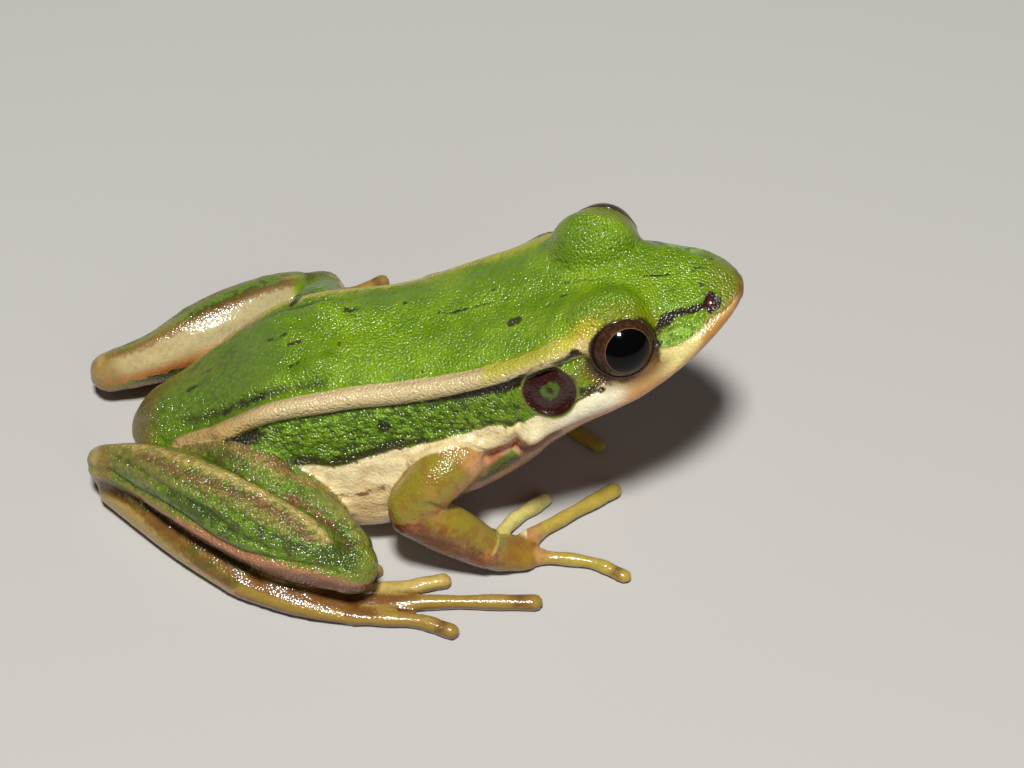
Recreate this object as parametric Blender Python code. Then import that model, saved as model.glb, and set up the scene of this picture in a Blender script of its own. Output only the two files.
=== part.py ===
"""A golden-backed frog at life size, sitting still on flat ground with its head raised.

Run it with: blender --background --python part.py

The scene is in metres. The named sizes below are millimetres in the frog's own frame: +X runs from
the vent to the snout, +Y to the frog's left and +Z up, with the ground at Z = 0. Everything is moved
by CENTRE at the end, so that the middle of the frog's footprint is the origin.
"""

import bmesh
import bpy
import numpy as np

MM = 0.001
GAP = 0.3
CENTRE = (25.53, 0.86, 0.0)

# The body is a row of upright slices. Each line below gives one of a slice's sizes along the body,
# as (place, size) pairs with a smooth curve through them.
TAIL_END = -0.8
SNOUT_TIP = 56.9
RUMP_ROUNDING = 2.2
SNOUT_ROUNDING = 3.2
BACK = (
    (-0.8, 6.2), (6, 10.7), (14, 16.5), (20, 18.4), (28, 19.9), (36, 23.2), (44, 26.4), (50, 26.9),
    (56.9, 26.9),
)
FOLD_OUT = (
    (-0.8, 2.2), (6, 4.9), (16, 6.5), (24, 6.4), (36, 7.2), (42, 7.0), (48, 4.8), (54, 2.3),
    (56.9, 1.6),
)
FOLD_UP = (
    (-0.8, 5.4), (6, 8.7), (14, 14.6), (20, 16.5), (26, 17.7), (34, 20.9), (42, 25.2), (48, 26.3),
    (56.9, 26.7),
)
SIDE_OUT = (
    (-0.8, 2.8), (4, 5.4), (10, 8.2), (18, 10.5), (24, 11.0), (32, 9.7), (38, 10.0), (44, 9.2),
    (48, 8.2), (52, 6.1), (56.9, 2.8),
)
SIDE_UP = (
    (-0.8, 4.4), (10, 6.5), (24, 7.2), (30, 9.2), (36, 14.0), (40, 17.3), (48, 22.1), (56.9, 25.8),
)
LOWER_OUT = (
    (-0.8, 1.6), (6, 4.6), (14, 7.2), (24, 8.8), (31, 7.3), (44, 7.2), (48, 6.6), (52, 4.8),
    (56.9, 2.0),
)
BELLY = (
    (-0.8, 2.4), (3, 0.9), (8, -0.2), (24, -0.2), (29, 0.6), (33, 2.6), (37, 6.4), (40, 10.6),
    (44, 14.8), (50, 19.5), (56.9, 24.3),
)
LOWER_SHARE = 0.22

# Round a slice, s counts its marks: 0 on the back, 1 on the fold, 2 at the widest, 3 on the lower
# side and 4 on the belly. The skin fold and the upper lip are ridges along lines of equal s.
MARK_EASE = 0.045
FOLD_RIDGE = 0.55
FOLD_RIDGE_SPREAD = 0.13
FOLD_ENDS = (4.0, 42.0)
LIP_SWELL = 0.15
LIP_AT = 1.85
LIP_SPREAD = 0.12
RIDGE_FADE = 3.0

# The neck is an upright cut. The mouth opens along a line that rises from its corner to the snout.
NECK = 36.8
MOUTH_CORNER = 38.8
MOUTH = ((38.8, 16.1), (44, 19.3), (49, 22.1), (53, 23.9), (56.9, 24.9), (60, 25.4))
JAW_INSET = 0.05

# Eyes, lids, nostrils and ear drums are given for the left side. The head leans a little, so the left
# eye and lid sit LEFT_EYE_SHIFT further back and up.
EYE = (45.3, 5.3, 24.6)
EYE_RADIUS = 3.4
EYE_AIM = (0.23, 0.88, 0.41)
LID_RADIUS = 4.15
LID_CENTRE = (45.0, 5.0, 24.6)
# The eye's opening is a cone: its radius at the inner end, where it starts and ends, and its flare.
LID_OPENING = (1.65, 1.0, 6.0, 2.6)
LEFT_EYE_SHIFT = (-1.3, 0.3, 1.0)
NOSTRIL = (53.5, 3.0, 27.0)
NOSTRIL_RADIUS = 0.42
EAR = (39.8, 8.9, 21.3)
EAR_AIM = (0.05, 0.86, 0.5)
EAR_RADIUS = 2.5
EAR_RECESS = 0.55
EAR_STANDS = 0.15

# A limb is a list of stations: x, y, z, half its width and half its height. The first and the last
# are the centres of its round ends.
HIND_RIGHT = {
    "thigh": ((6.4, -3.6, 5.6, 3.2, 3.2), (12.4, -9.2, 6.9, 4.2, 4.3), (20.6, -15.6, 5.4, 2.9, 3.0)),
    "shank": ((21.3, -16.9, 5.2, 2.6, 2.8), (15.2, -14.7, 6.4, 3.7, 4.0), (8.4, -10.8, 6.9, 3.7, 4.1),
              (2.0, -6.8, 5.6, 2.6, 3.1), (-2.6, -4.5, 3.8, 1.9, 2.4)),
    "tarsus": ((-2.0, -5.9, 1.9, 1.6, 1.9), (4.9, -11.8, 1.7, 1.6, 1.8), (10.6, -15.9, 1.5, 1.6, 1.6)),
    "foot": ((11.4, -16.4, 1.3, 1.5, 1.4), (16.0, -17.7, 1.1, 1.8, 1.2), (20.3, -17.8, 0.7, 2.5, 0.85)),
    "toe_1": ((17.0, -15.6, 0.6, 0.7, 0.7), (20.4, -13.8, 0.6, 0.6, 0.7)),
    "toe_2": ((20.4, -15.7, 0.65, 0.75, 0.75), (23.5, -14.1, 0.6, 0.6, 0.7)),
    "toe_3": ((21.5, -16.5, 0.65, 0.75, 0.75), (26.0, -16.0, 0.6, 0.7, 0.7),
              (29.8, -15.2, 0.6, 0.75, 0.7)),
    "toe_4": ((22.5, -18.0, 0.65, 0.9, 0.75), (30.0, -17.6, 0.6, 0.7, 0.7),
              (38.4, -17.5, 0.6, 0.8, 0.7)),
    "toe_5": ((21.0, -19.5, 0.65, 0.75, 0.75), (27.4, -19.8, 0.6, 0.7, 0.7),
              (30.7, -20.9, 0.6, 0.75, 0.7)),
}
HIND_LEFT = {
    "thigh": ((6.4, 2.6, 5.2, 2.9, 3.1), (10.9, 8.4, 4.4, 3.2, 3.4), (16.0, 15.8, 5.2, 2.7, 3.0)),
    "shank": ((16.6, 16.7, 4.9, 2.4, 2.6), (11.8, 14.1, 5.9, 3.2, 3.4), (6.0, 10.8, 5.9, 3.3, 3.4),
              (0.4, 8.4, 4.6, 2.4, 2.6), (-4.0, 7.6, 3.3, 1.8, 2.1)),
    "tarsus": ((-3.2, 8.8, 1.9, 1.6, 1.8), (2.0, 11.8, 1.7, 1.7, 1.8), (6.4, 14.4, 1.5, 1.7, 1.6)),
    "foot": ((7.2, 14.9, 1.3, 1.6, 1.4), (10.9, 17.2, 1.1, 2.0, 1.2), (14.4, 18.7, 0.7, 2.6, 0.85)),
    "toe_1": ((11.6, 14.9, 0.6, 0.7, 0.7), (15.2, 13.7, 0.6, 0.6, 0.7)),
    "toe_2": ((14.9, 16.5, 0.65, 0.75, 0.75), (18.4, 16.0, 0.6, 0.6, 0.7)),
    "toe_3": ((15.7, 17.5, 0.65, 0.75, 0.75), (20.0, 18.0, 0.6, 0.7, 0.7), (23.8, 18.2, 0.6, 0.75, 0.7)),
    "toe_4": ((16.2, 19.0, 0.65, 0.9, 0.75), (23.5, 20.2, 0.6, 0.7, 0.7), (31.0, 20.8, 0.6, 0.8, 0.7)),
    "toe_5": ((14.6, 20.2, 0.65, 0.75, 0.75), (19.6, 21.1, 0.6, 0.7, 0.7), (22.2, 22.6, 0.6, 0.75, 0.7)),
}
# The left fore limb mirrors the right one, with its hand set back and inwards by HAND_SHIFT.
FORE = {
    "upper_arm": ((31.6, -9.4, 12.0, 2.2, 2.4), (29.4, -11.2, 11.2, 2.4, 2.5),
                  (26.9, -12.5, 8.6, 2.2, 2.4)),
    "forearm": ((27.0, -12.7, 7.8, 2.2, 2.3), (30.4, -12.8, 5.4, 2.2, 2.6),
                (33.7, -12.9, 2.7, 1.9, 2.0)),
    "hand": ((34.8, -12.7, 1.7, 1.8, 1.6), (37.0, -12.0, 0.9, 2.0, 1.1)),
    "finger_1": ((35.0, -11.9, 0.7, 0.7, 0.7), (33.3, -9.9, 0.65, 0.7, 0.7),
                 (31.6, -8.5, 0.6, 0.7, 0.65)),
    "finger_2": ((34.9, -10.0, 0.7, 0.75, 0.75), (36.4, -7.8, 0.65, 0.7, 0.75),
                 (39.3, -5.4, 0.6, 0.75, 0.7)),
    "finger_3": ((37.6, -10.3, 0.75, 0.9, 0.85), (40.4, -8.1, 0.7, 0.8, 0.8),
                 (45.8, -4.2, 0.65, 0.95, 0.75)),
    "finger_4": ((38.4, -12.2, 0.7, 0.85, 0.8), (43.6, -12.8, 0.65, 0.75, 0.75),
                 (46.8, -14.3, 0.6, 0.8, 0.7)),
}
HAND_SHIFT = (-1.4, -2.8, 0.0)
HAND_SHARE = {"upper_arm": (0, 0, 0), "forearm": (0, 0.4, 1)}

GREEN, TAN, OCHRE = (0.16, 0.38, 0.02), (0.42, 0.3, 0.08), (0.45, 0.3, 0.05)
EYE_BROWN, EAR_BROWN = (0.03, 0.015, 0.01), (0.08, 0.025, 0.015)

CAP_RINGS = (0.45, 0.8)
BODY_COLUMNS = 36
TORSO_RINGS = 26
HEAD_RINGS = 24
END_CROWDING = {"tail": 1.15, "snout": 1.25}
RIM_MARGIN = 0.02
BALL_GRID = {"lid": (24, 9), "eye": (20, 9), "nostril": (8, 3)}
LIMB_GRID = {
    "thigh": (7, 14), "shank": (9, 14), "tarsus": (5, 10), "foot": (5, 12),
    "upper_arm": (5, 12), "forearm": (5, 12), "hand": (4, 12), "digit": (5, 8),
}
TOUCH_TORSO = ("thigh", "shank", "upper_arm", "forearm")


def curve(pairs, at):
    """Smooth curve through (place, value) pairs, in cubic pieces with the slopes of their neighbours."""
    x, y = np.array(pairs, float).T
    slope = np.gradient(y, x)
    i = np.clip(np.searchsorted(x, at) - 1, 0, len(x) - 2)
    span = x[i + 1] - x[i]
    t = (at - x[i]) / span
    here = (1 + 2 * t) * (1 - t) ** 2 * y[i] + t * (1 - t) ** 2 * span * slope[i]
    following = t * t * (3 - 2 * t) * y[i + 1] + t * t * (t - 1) * span * slope[i + 1]
    return here + following


def rounding(x):
    """Share of its full size that a slice keeps, falling to 0 as a quarter ellipse at both ends."""
    from_tail = np.clip((x - TAIL_END) / RUMP_ROUNDING, 0, 1)
    from_snout = np.clip((SNOUT_TIP - x) / SNOUT_ROUNDING, 0, 1)
    return np.sqrt(1 - (1 - from_tail) ** 2) * np.sqrt(1 - (1 - from_snout) ** 2)


def body_slices(x, columns, inset=0.0):
    """Rings of points round the body, one for each x, starting at the back's middle line."""
    zero = np.zeros_like(x)
    side_up, belly = curve(SIDE_UP, x), curve(BELLY, x)
    lower_up = belly + LOWER_SHARE * (side_up - belly)
    half = np.array([
        (-curve(FOLD_OUT, x), curve(FOLD_UP, x)),
        (zero, curve(BACK, x)),
        (curve(FOLD_OUT, x), curve(FOLD_UP, x)),
        (curve(SIDE_OUT, x) - inset, side_up),
        (curve(LOWER_OUT, x) - inset, lower_up),
        (zero, belly),
        (inset - curve(LOWER_OUT, x), lower_up),
    ])
    s = np.linspace(0, 4, columns // 2 + 1)
    s = s - MARK_EASE * np.sin(2 * np.pi * s)
    i = np.minimum(s.astype(int), 3)
    t = (s - i)[:, None, None]
    before, start, end, after = (half[i + k] for k in range(4))
    cubed = 3 * (start - end) + after - before
    squared = 2 * before - 5 * start + 4 * end - after
    ring = start + 0.5 * t * (end - before + t * (squared + t * cubed))
    fold_starts = np.clip((x - FOLD_ENDS[0]) / RIDGE_FADE, 0, 1)
    fold_stops = np.clip((FOLD_ENDS[1] - x) / RIDGE_FADE, 0, 1)
    ridge = np.exp(-(((s - 1) / FOLD_RIDGE_SPREAD) ** 2))[:, None] * fold_starts * fold_stops
    lip_starts = np.clip((x - MOUTH_CORNER) / RIDGE_FADE, 0, 1)
    lip = LIP_SWELL * np.exp(-(((s - LIP_AT) / LIP_SPREAD) ** 2))[:, None] * lip_starts
    ring[:, 0] += FOLD_RIDGE * np.sqrt(0.5) * ridge + lip
    ring[:, 1] += FOLD_RIDGE * np.sqrt(0.5) * ridge
    mirrored = ring[-2:0:-1] * np.array([-1, 1])[None, :, None]
    ring = np.concatenate([ring, mirrored])
    middle = 0.5 * (curve(BACK, x) + belly)
    keep = rounding(x)
    y = ring[:, 0] * keep
    z = middle + (ring[:, 1] - middle) * keep
    return np.stack([np.broadcast_to(x, y.shape), y, z], -1).transpose(1, 0, 2)


def closed_tube(rings):
    """Points and faces of a tube through the rings, with a fan of triangles closing each end."""
    count, around = rings.shape[:2]
    ends = [rings[0].mean(0)[None], rings[-1].mean(0)[None]]
    points = np.concatenate([rings.reshape(-1, 3), *ends])
    faces = []
    for here in range(0, (count - 1) * around, around):
        for c in range(around):
            after = (c + 1) % around
            faces.append((here + c, here + after, here + around + after, here + around + c))
    first, last, start = count * around, count * around + 1, (count - 1) * around
    faces += [(first, (c + 1) % around, c) for c in range(around)]
    faces += [(last, start + c, start + (c + 1) % around) for c in range(around)]
    return points, faces


def limb_tube(stations, rings, sides, grow=0.0):
    """A tube with round ends through the stations, on a smooth path, larger all round by grow."""
    stations = np.array(stations, float)
    marks = np.arange(len(stations), dtype=float)
    at = np.linspace(0, marks[-1], 200)
    fine = np.stack([curve(np.column_stack([marks, column]), at) for column in stations.T], 1)
    run = np.concatenate([[0], np.cumsum(np.linalg.norm(np.diff(fine[:, :3], axis=0), axis=1))])
    first, last = fine[0, 3] + grow, fine[-1, 3] + grow
    dome = np.sin(np.array(CAP_RINGS) * np.pi / 2)
    where = np.concatenate([-first * dome[::-1], np.linspace(0, run[-1], rings), run[-1] + last * dome])
    from_start = np.clip(1 + where / first, 0, 1)
    from_end = np.clip(1 + (run[-1] - where) / last, 0, 1)
    keep = np.sqrt(1 - (1 - from_start) ** 2) * np.sqrt(1 - (1 - from_end) ** 2)
    heading = np.stack([np.gradient(fine[:, k], run) for k in range(3)], 1)
    heading = np.stack([np.interp(where, run, heading[:, k]) for k in range(3)], 1)
    heading /= np.linalg.norm(heading, axis=1)[:, None]
    middle = np.stack([np.interp(where, run, fine[:, k]) for k in range(3)], 1)
    middle += heading * (where - np.clip(where, 0, run[-1]))[:, None]
    across = np.cross((0, 0, 1), heading)
    across /= np.linalg.norm(across, axis=1)[:, None]
    up = np.cross(heading, across)
    angle = np.arange(sides) * 2 * np.pi / sides
    wide = (np.interp(where, run, fine[:, 3]) + grow) * keep
    high = (np.interp(where, run, fine[:, 4]) + grow) * keep
    rim = (
        (wide[:, None] * np.cos(angle))[..., None] * across[:, None]
        + (high[:, None] * np.sin(angle))[..., None] * up[:, None]
    )
    points, faces = closed_tube(middle[:, None] + rim)
    points[-2] = middle[0] - heading[0] * (first + where[0])
    points[-1] = middle[-1] + heading[-1] * (run[-1] + last - where[-1])
    return points, faces


def ball(centre, radius, sides=20, rings=7):
    """A round tube that is short enough to be a ball."""
    angle = np.linspace(0, np.pi, rings + 2)[1:-1]
    turn = np.arange(sides) * 2 * np.pi / sides
    rim = np.stack([
        np.broadcast_to(-np.cos(angle)[:, None], (rings, sides)),
        np.sin(angle)[:, None] * np.cos(turn),
        np.sin(angle)[:, None] * np.sin(turn),
    ], -1)
    points, faces = closed_tube(rim)
    points[-2:] = ((-1, 0, 0), (1, 0, 0))
    return points * radius + centre, faces


def plug(centre, aim, radius, inner, outer, flare=1.0, sides=24):
    """A round plug along the aim from inner to outer, its outer end wider by the flare."""
    aim = np.array(aim, float) / np.linalg.norm(aim)
    across = np.cross(aim, (1.0, 0.0, 0.0))
    across /= np.linalg.norm(across)
    up = np.cross(aim, across)
    turn = np.arange(sides) * 2 * np.pi / sides
    rim = np.cos(turn)[:, None] * across + np.sin(turn)[:, None] * up
    rings = np.array([centre + aim * inner + rim * radius, centre + aim * outer + rim * radius * flare])
    return closed_tube(rings)


def eye_of(point, side):
    """An eye's or lid's point for this side, with the left one shifted."""
    return side_of(point, side) + (side > 0) * np.array(LEFT_EYE_SHIFT)


def side_of(point, side):
    """The point for this side of the frog: +1 is the left and -1 the right."""
    return np.array(point, float) * (1, side, 1)


def make(name, shape):
    """A mesh object from (points, faces) in millimetres, with its faces pointing out."""
    points, faces = shape
    mesh = bpy.data.meshes.new(name)
    mesh.from_pydata(((points - CENTRE) * MM).tolist(), [], faces)
    shell = bmesh.new()
    shell.from_mesh(mesh)
    bmesh.ops.recalc_face_normals(shell, faces=shell.faces)
    shell.to_mesh(mesh)
    shell.free()
    made = bpy.data.objects.new(name, mesh)
    bpy.context.scene.collection.objects.link(made)
    return made


def combine(made, operation, other):
    """Joins other to made, or cuts it away or keeps what they share, and removes other."""
    boolean = made.modifiers.new(operation, "BOOLEAN")
    boolean.operation = operation
    boolean.object = other
    evaluated = made.evaluated_get(bpy.context.evaluated_depsgraph_get())
    made.data = bpy.data.meshes.new_from_object(evaluated)
    made.modifiers.clear()
    bpy.data.objects.remove(other)


def keep_largest(made):
    """Drops all but the largest closed surface of the mesh."""
    shell = bmesh.new()
    shell.from_mesh(made.data)
    left = set(shell.faces)
    groups = []
    while left:
        group, edge = set(), [left.pop()]
        while edge:
            face = edge.pop()
            group.add(face)
            near = {other for side in face.edges for other in side.link_faces} & left
            left -= near
            edge.extend(near)
        groups.append(group)
    groups.sort(key=lambda group: sum(face.calc_area() for face in group))
    scraps = [face for group in groups[:-1] for face in group]
    bmesh.ops.delete(shell, geom=scraps, context="FACES")
    shell.to_mesh(made.data)
    shell.free()


def finish(made, colour, roughness):
    """Flattens what would reach under the ground, then sets the material and smooth shading."""
    lowest = min((made.matrix_world @ vertex.co).z for vertex in made.data.vertices)
    if lowest < 0:
        corners = ((-60, -60), (60, -60), (60, 60), (-60, 60))
        ground = np.array([(x, y, z) for z in (-20, 0) for x, y in corners])
        faces = [(3, 2, 1, 0), (4, 5, 6, 7), (0, 1, 5, 4), (1, 2, 6, 5), (2, 3, 7, 6), (3, 0, 4, 7)]
        combine(made, "DIFFERENCE", make("ground", (ground + CENTRE, faces)))
    keep_largest(made)
    material = bpy.data.materials.new(made.name)
    material.use_nodes = True
    surface = material.node_tree.nodes["Principled BSDF"]
    surface.inputs["Base Color"].default_value = (*colour, 1)
    surface.inputs["Roughness"].default_value = roughness
    surface.inputs["Metallic"].default_value = 0.0
    made.data.materials.clear()
    made.data.materials.append(material)
    made.data.shade_smooth()
    made.data.set_sharp_from_angle(angle=np.radians(40))


def mouth_block(lift):
    """The space under the mouth line and in front of the mouth's corner, larger by lift."""
    x = np.linspace(MOUTH_CORNER, MOUTH[-1][0], 12)
    top = curve(MOUTH, x) + lift
    x[0] -= lift
    ends = np.array([[x[-1], x[0]], [-5.0, -5.0]])
    outline = np.concatenate([np.stack([x, top]), ends], 1).T
    rings = np.array([np.insert(outline, 1, y, axis=1) for y in (-15.0, 15.0)])
    count = len(outline)
    faces = [(k, (k + 1) % count, count + (k + 1) % count, count + k) for k in range(count)]
    faces += [tuple(range(count)), tuple(range(2 * count - 1, count - 1, -1))]
    return rings.reshape(-1, 3), faces


def torso():
    share = np.linspace(0, 1, TORSO_RINGS) ** END_CROWDING["tail"]
    x = TAIL_END + share * (NECK - GAP / 2 - TAIL_END)
    x[0] += RIM_MARGIN
    return closed_tube(body_slices(x, BODY_COLUMNS))


def grown_torso():
    """The torso with every point moved out by GAP, which cuts what lies against it."""
    points, faces = torso()
    helper = make("helper", (points, faces))
    normals = np.array([vertex.normal for vertex in helper.data.vertices])
    bpy.data.objects.remove(helper)
    return points + normals * GAP, faces


def head_slices(inset=0.0):
    share = np.linspace(1, 0, HEAD_RINGS) ** END_CROWDING["snout"]
    x = SNOUT_TIP - share * (SNOUT_TIP - NECK - GAP / 2)
    x[-1] -= RIM_MARGIN
    return closed_tube(body_slices(x, BODY_COLUMNS, inset))


def make_head():
    """The head with its lids, less the mouth, the eye sockets, the nostrils and the ear recesses."""
    head = make("head", head_slices())
    for side in (-1, 1):
        lid = ball(eye_of(LID_CENTRE, side), LID_RADIUS, *BALL_GRID["lid"])
        combine(head, "UNION", make("lid", lid))
    combine(head, "DIFFERENCE", make("mouth", mouth_block(GAP)))
    for side in (-1, 1):
        eye, aim = eye_of(EYE, side), side_of(EYE_AIM, side)
        socket = ball(eye, EYE_RADIUS + GAP, *BALL_GRID["eye"])
        combine(head, "DIFFERENCE", make("socket", socket))
        combine(head, "DIFFERENCE", make("opening", plug(eye, aim, *LID_OPENING)))
        nostril = ball(side_of(NOSTRIL, side), NOSTRIL_RADIUS, *BALL_GRID["nostril"])
        combine(head, "DIFFERENCE", make("nostril", nostril))
        recess = plug(side_of(EAR, side), side_of(EAR_AIM, side), EAR_RADIUS + GAP, -EAR_RECESS, 4.0)
        combine(head, "DIFFERENCE", make("recess", recess))
    finish(head, GREEN, 0.35)


def make_lower_jaw():
    jaw = make("lower_jaw", head_slices(JAW_INSET))
    combine(jaw, "INTERSECT", make("mouth", mouth_block(0.0)))
    finish(jaw, TAN, 0.4)


def make_eyes_and_ears():
    for name, side in (("right", -1), ("left", 1)):
        eye = ball(eye_of(EYE, side), EYE_RADIUS, *BALL_GRID["eye"])
        finish(make(f"eye_{name}", eye), EYE_BROWN, 0.05)
        ear, aim = side_of(EAR, side), side_of(EAR_AIM, side)
        drum = plug(ear, aim, EAR_RADIUS, GAP - EAR_RECESS, EAR_STANDS)
        finish(make(f"ear_{name}", drum), EAR_BROWN, 0.4)


def make_limb(parts, side_name):
    """Makes a chain of tubes, each cut back by GAP from the ones before it and from the torso."""
    made_before = []
    for part, stations in parts.items():
        kind, _, number = part.rpartition("_") if part[-1].isdigit() else (part, "", "")
        grid = LIMB_GRID["digit" if number else kind]
        name = f"{kind}_{side_name}_{number}" if number else f"{kind}_{side_name}"
        made = make(name, limb_tube(stations, *grid))
        if part in TOUCH_TORSO:
            combine(made, "DIFFERENCE", make("torso_cut", grown_torso()))
        for other, other_grid in made_before:
            grown = limb_tube(parts[other], *other_grid, GAP)
            combine(made, "DIFFERENCE", make("cut", grown))
        finish(made, GREEN if part in ("thigh", "shank") else OCHRE if number else TAN, 0.4)
        made_before.append((part, grid))


def left_fore_limb():
    """The right fore limb mirrored, with the hand and the wrist moved by HAND_SHIFT."""
    mirrored = {}
    for part, stations in FORE.items():
        table = np.array(stations, float)
        table[:, 1] *= -1
        share = HAND_SHARE.get(part, [1] * len(table))
        table[:, :3] += np.outer(share, HAND_SHIFT)
        mirrored[part] = table
    return mirrored


def main():
    for old in list(bpy.data.objects):
        bpy.data.objects.remove(old)
    finish(make("torso", torso()), GREEN, 0.35)
    make_head()
    make_lower_jaw()
    make_eyes_and_ears()
    make_limb(HIND_RIGHT, "right")
    make_limb(HIND_LEFT, "left")
    make_limb(FORE, "right")
    make_limb(left_fore_limb(), "left")


main()
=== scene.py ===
# %% [markdown]
# A golden-backed frog at life size, sitting still with its head raised. The solids of the frog come
# first, as a fixed frame. The frog's one skin, its eyes and its eyelid rims are then worked out with
# numpy in the same place, and take the place of the plain solids.

# %% Load the frame
import bmesh
import bpy
import numpy as np
from mathutils import Matrix


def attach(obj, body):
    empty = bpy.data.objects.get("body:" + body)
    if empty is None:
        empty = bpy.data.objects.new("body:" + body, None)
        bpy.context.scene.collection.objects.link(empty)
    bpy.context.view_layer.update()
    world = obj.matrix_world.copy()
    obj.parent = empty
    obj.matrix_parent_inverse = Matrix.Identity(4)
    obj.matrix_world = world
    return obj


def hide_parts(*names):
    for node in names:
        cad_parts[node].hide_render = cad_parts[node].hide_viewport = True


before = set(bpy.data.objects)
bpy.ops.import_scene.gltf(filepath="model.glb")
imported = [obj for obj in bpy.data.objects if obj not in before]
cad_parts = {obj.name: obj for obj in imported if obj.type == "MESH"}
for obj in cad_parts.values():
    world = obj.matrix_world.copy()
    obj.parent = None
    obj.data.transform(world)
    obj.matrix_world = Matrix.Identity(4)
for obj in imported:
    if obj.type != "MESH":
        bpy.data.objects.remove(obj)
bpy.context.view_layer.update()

# %% [markdown]
# A frog's body has no straight line, but every upright slice through it is much like the next. The
# body is therefore a surface of two numbers: x, the place along it in millimetres, and s, which
# counts marks round the slice: 0 on the back, 1 on the skin fold, 2 at the widest, 3 low on the side
# and 4 on the belly. Each mark's distance out and height is a smooth curve along the body, so one
# short list moves the whole fold, and every marking can later be placed by its own x and s.

# %% The body's measures, in millimetres
MM = 0.001
CENTRE = np.array((25.53, 0.86, 0.0))
TAIL_END, SNOUT_TIP = -0.8, 56.9
RUMP_ROUNDING, SNOUT_ROUNDING = 2.2, 3.2
BACK = (
    (-0.8, 6.2), (6, 10.7), (14, 16.5), (20, 18.4), (28, 19.9), (36, 23.2), (44, 26.4), (50, 26.9),
    (56.9, 26.9),
)
FOLD_OUT = (
    (-0.8, 2.2), (6, 4.9), (16, 6.5), (24, 6.4), (36, 7.2), (42, 7.0), (48, 4.8), (54, 2.3),
    (56.9, 1.6),
)
FOLD_UP = (
    (-0.8, 5.4), (6, 8.7), (14, 14.6), (20, 16.5), (26, 17.7), (34, 20.9), (42, 25.2), (48, 26.3),
    (56.9, 26.7),
)
SIDE_OUT = (
    (-0.8, 2.8), (4, 5.4), (10, 8.2), (18, 10.5), (24, 11.0), (32, 9.7), (38, 10.0), (44, 9.2),
    (48, 8.2), (52, 6.1), (56.9, 2.8),
)
SIDE_UP = (
    (-0.8, 4.4), (10, 6.5), (24, 7.2), (30, 9.2), (36, 14.0), (40, 17.3), (48, 22.1), (56.9, 25.8),
)
LOWER_OUT = (
    (-0.8, 1.6), (6, 4.6), (14, 7.2), (24, 8.8), (31, 7.3), (44, 7.2), (48, 6.6), (52, 4.8),
    (56.9, 2.0),
)
BELLY = (
    (-0.8, 2.4), (3, 0.9), (8, -0.2), (24, -0.2), (29, 0.6), (33, 2.6), (37, 6.4), (40, 10.6),
    (44, 14.8), (50, 19.5), (56.9, 24.3),
)
LOWER_SHARE = 0.22
FOLD_RIDGE, FOLD_RIDGE_SPREAD, FOLD_ENDS = 0.55, 0.13, (4.0, 42.0)
LIP_SWELL, LIP_AT, LIP_SPREAD, RIDGE_FADE = 0.15, 1.85, 0.12, 3.0
MOUTH_CORNER = 38.8
SLICES, ROUND_HALF = 321, 91

# %% The body's surface
def curve(pairs, at):
    """Smooth curve through (place, value) pairs: cubic pieces with the slopes of their neighbours."""
    x, y = np.array(pairs, float).T
    at = np.clip(at, x[0], x[-1])
    slope = np.gradient(y, x)
    i = np.clip(np.searchsorted(x, at) - 1, 0, len(x) - 2)
    span = x[i + 1] - x[i]
    t = (at - x[i]) / span
    here = (1 + 2 * t) * (1 - t) ** 2 * y[i] + t * (1 - t) ** 2 * span * slope[i]
    return here + t * t * (3 - 2 * t) * y[i + 1] + t * t * (t - 1) * span * slope[i + 1]


def through_marks(values, s):
    """Value at mark s of a curve that passes through the value of each whole mark."""
    i = np.clip(s.astype(int), 0, 3)
    t = s - i
    before, start, end, after = (np.choose(i + k, values) for k in range(4))
    cubed = 3 * (start - end) + after - before
    squared = 2 * before - 5 * start + 4 * end - after
    return start + 0.5 * t * (end - before + t * (squared + t * cubed))


def body_surface(x, s):
    """Points of the body's left half: seven marks of a slice at x, a ridge at the fold and the lip,
    and both ends drawn in to their middle as a quarter ellipse."""
    x, s = np.broadcast_arrays(np.asarray(x, float), np.asarray(s, float))
    fold, side, lower = curve(FOLD_OUT, x), curve(SIDE_OUT, x), curve(LOWER_OUT, x)
    fold_up, back, side_up, belly = (curve(line, x) for line in (FOLD_UP, BACK, SIDE_UP, BELLY))
    lower_up = belly + LOWER_SHARE * (side_up - belly)
    nothing = np.zeros_like(x)
    y = through_marks([-fold, nothing, fold, side, lower, nothing, -lower], s)
    z = through_marks([fold_up, back, fold_up, side_up, lower_up, belly, lower_up], s)
    fold_starts = np.clip((x - FOLD_ENDS[0]) / RIDGE_FADE, 0, 1)
    fold_stops = np.clip((FOLD_ENDS[1] - x) / RIDGE_FADE, 0, 1)
    ridge = np.exp(-(((s - 1) / FOLD_RIDGE_SPREAD) ** 2)) * fold_starts * fold_stops
    lip = np.exp(-(((s - LIP_AT) / LIP_SPREAD) ** 2)) * np.clip((x - MOUTH_CORNER) / RIDGE_FADE, 0, 1)
    y = y + FOLD_RIDGE * np.sqrt(0.5) * ridge + LIP_SWELL * lip
    z = z + FOLD_RIDGE * np.sqrt(0.5) * ridge
    from_tail = np.clip((x - TAIL_END) / RUMP_ROUNDING, 0, 1)
    from_snout = np.clip((SNOUT_TIP - x) / SNOUT_ROUNDING, 0, 1)
    keep = np.sqrt(1 - (1 - from_tail) ** 2) * np.sqrt(1 - (1 - from_snout) ** 2)
    middle = 0.5 * (back + belly)
    return np.stack([x, y * keep, middle + (z - middle) * keep], -1)

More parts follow.
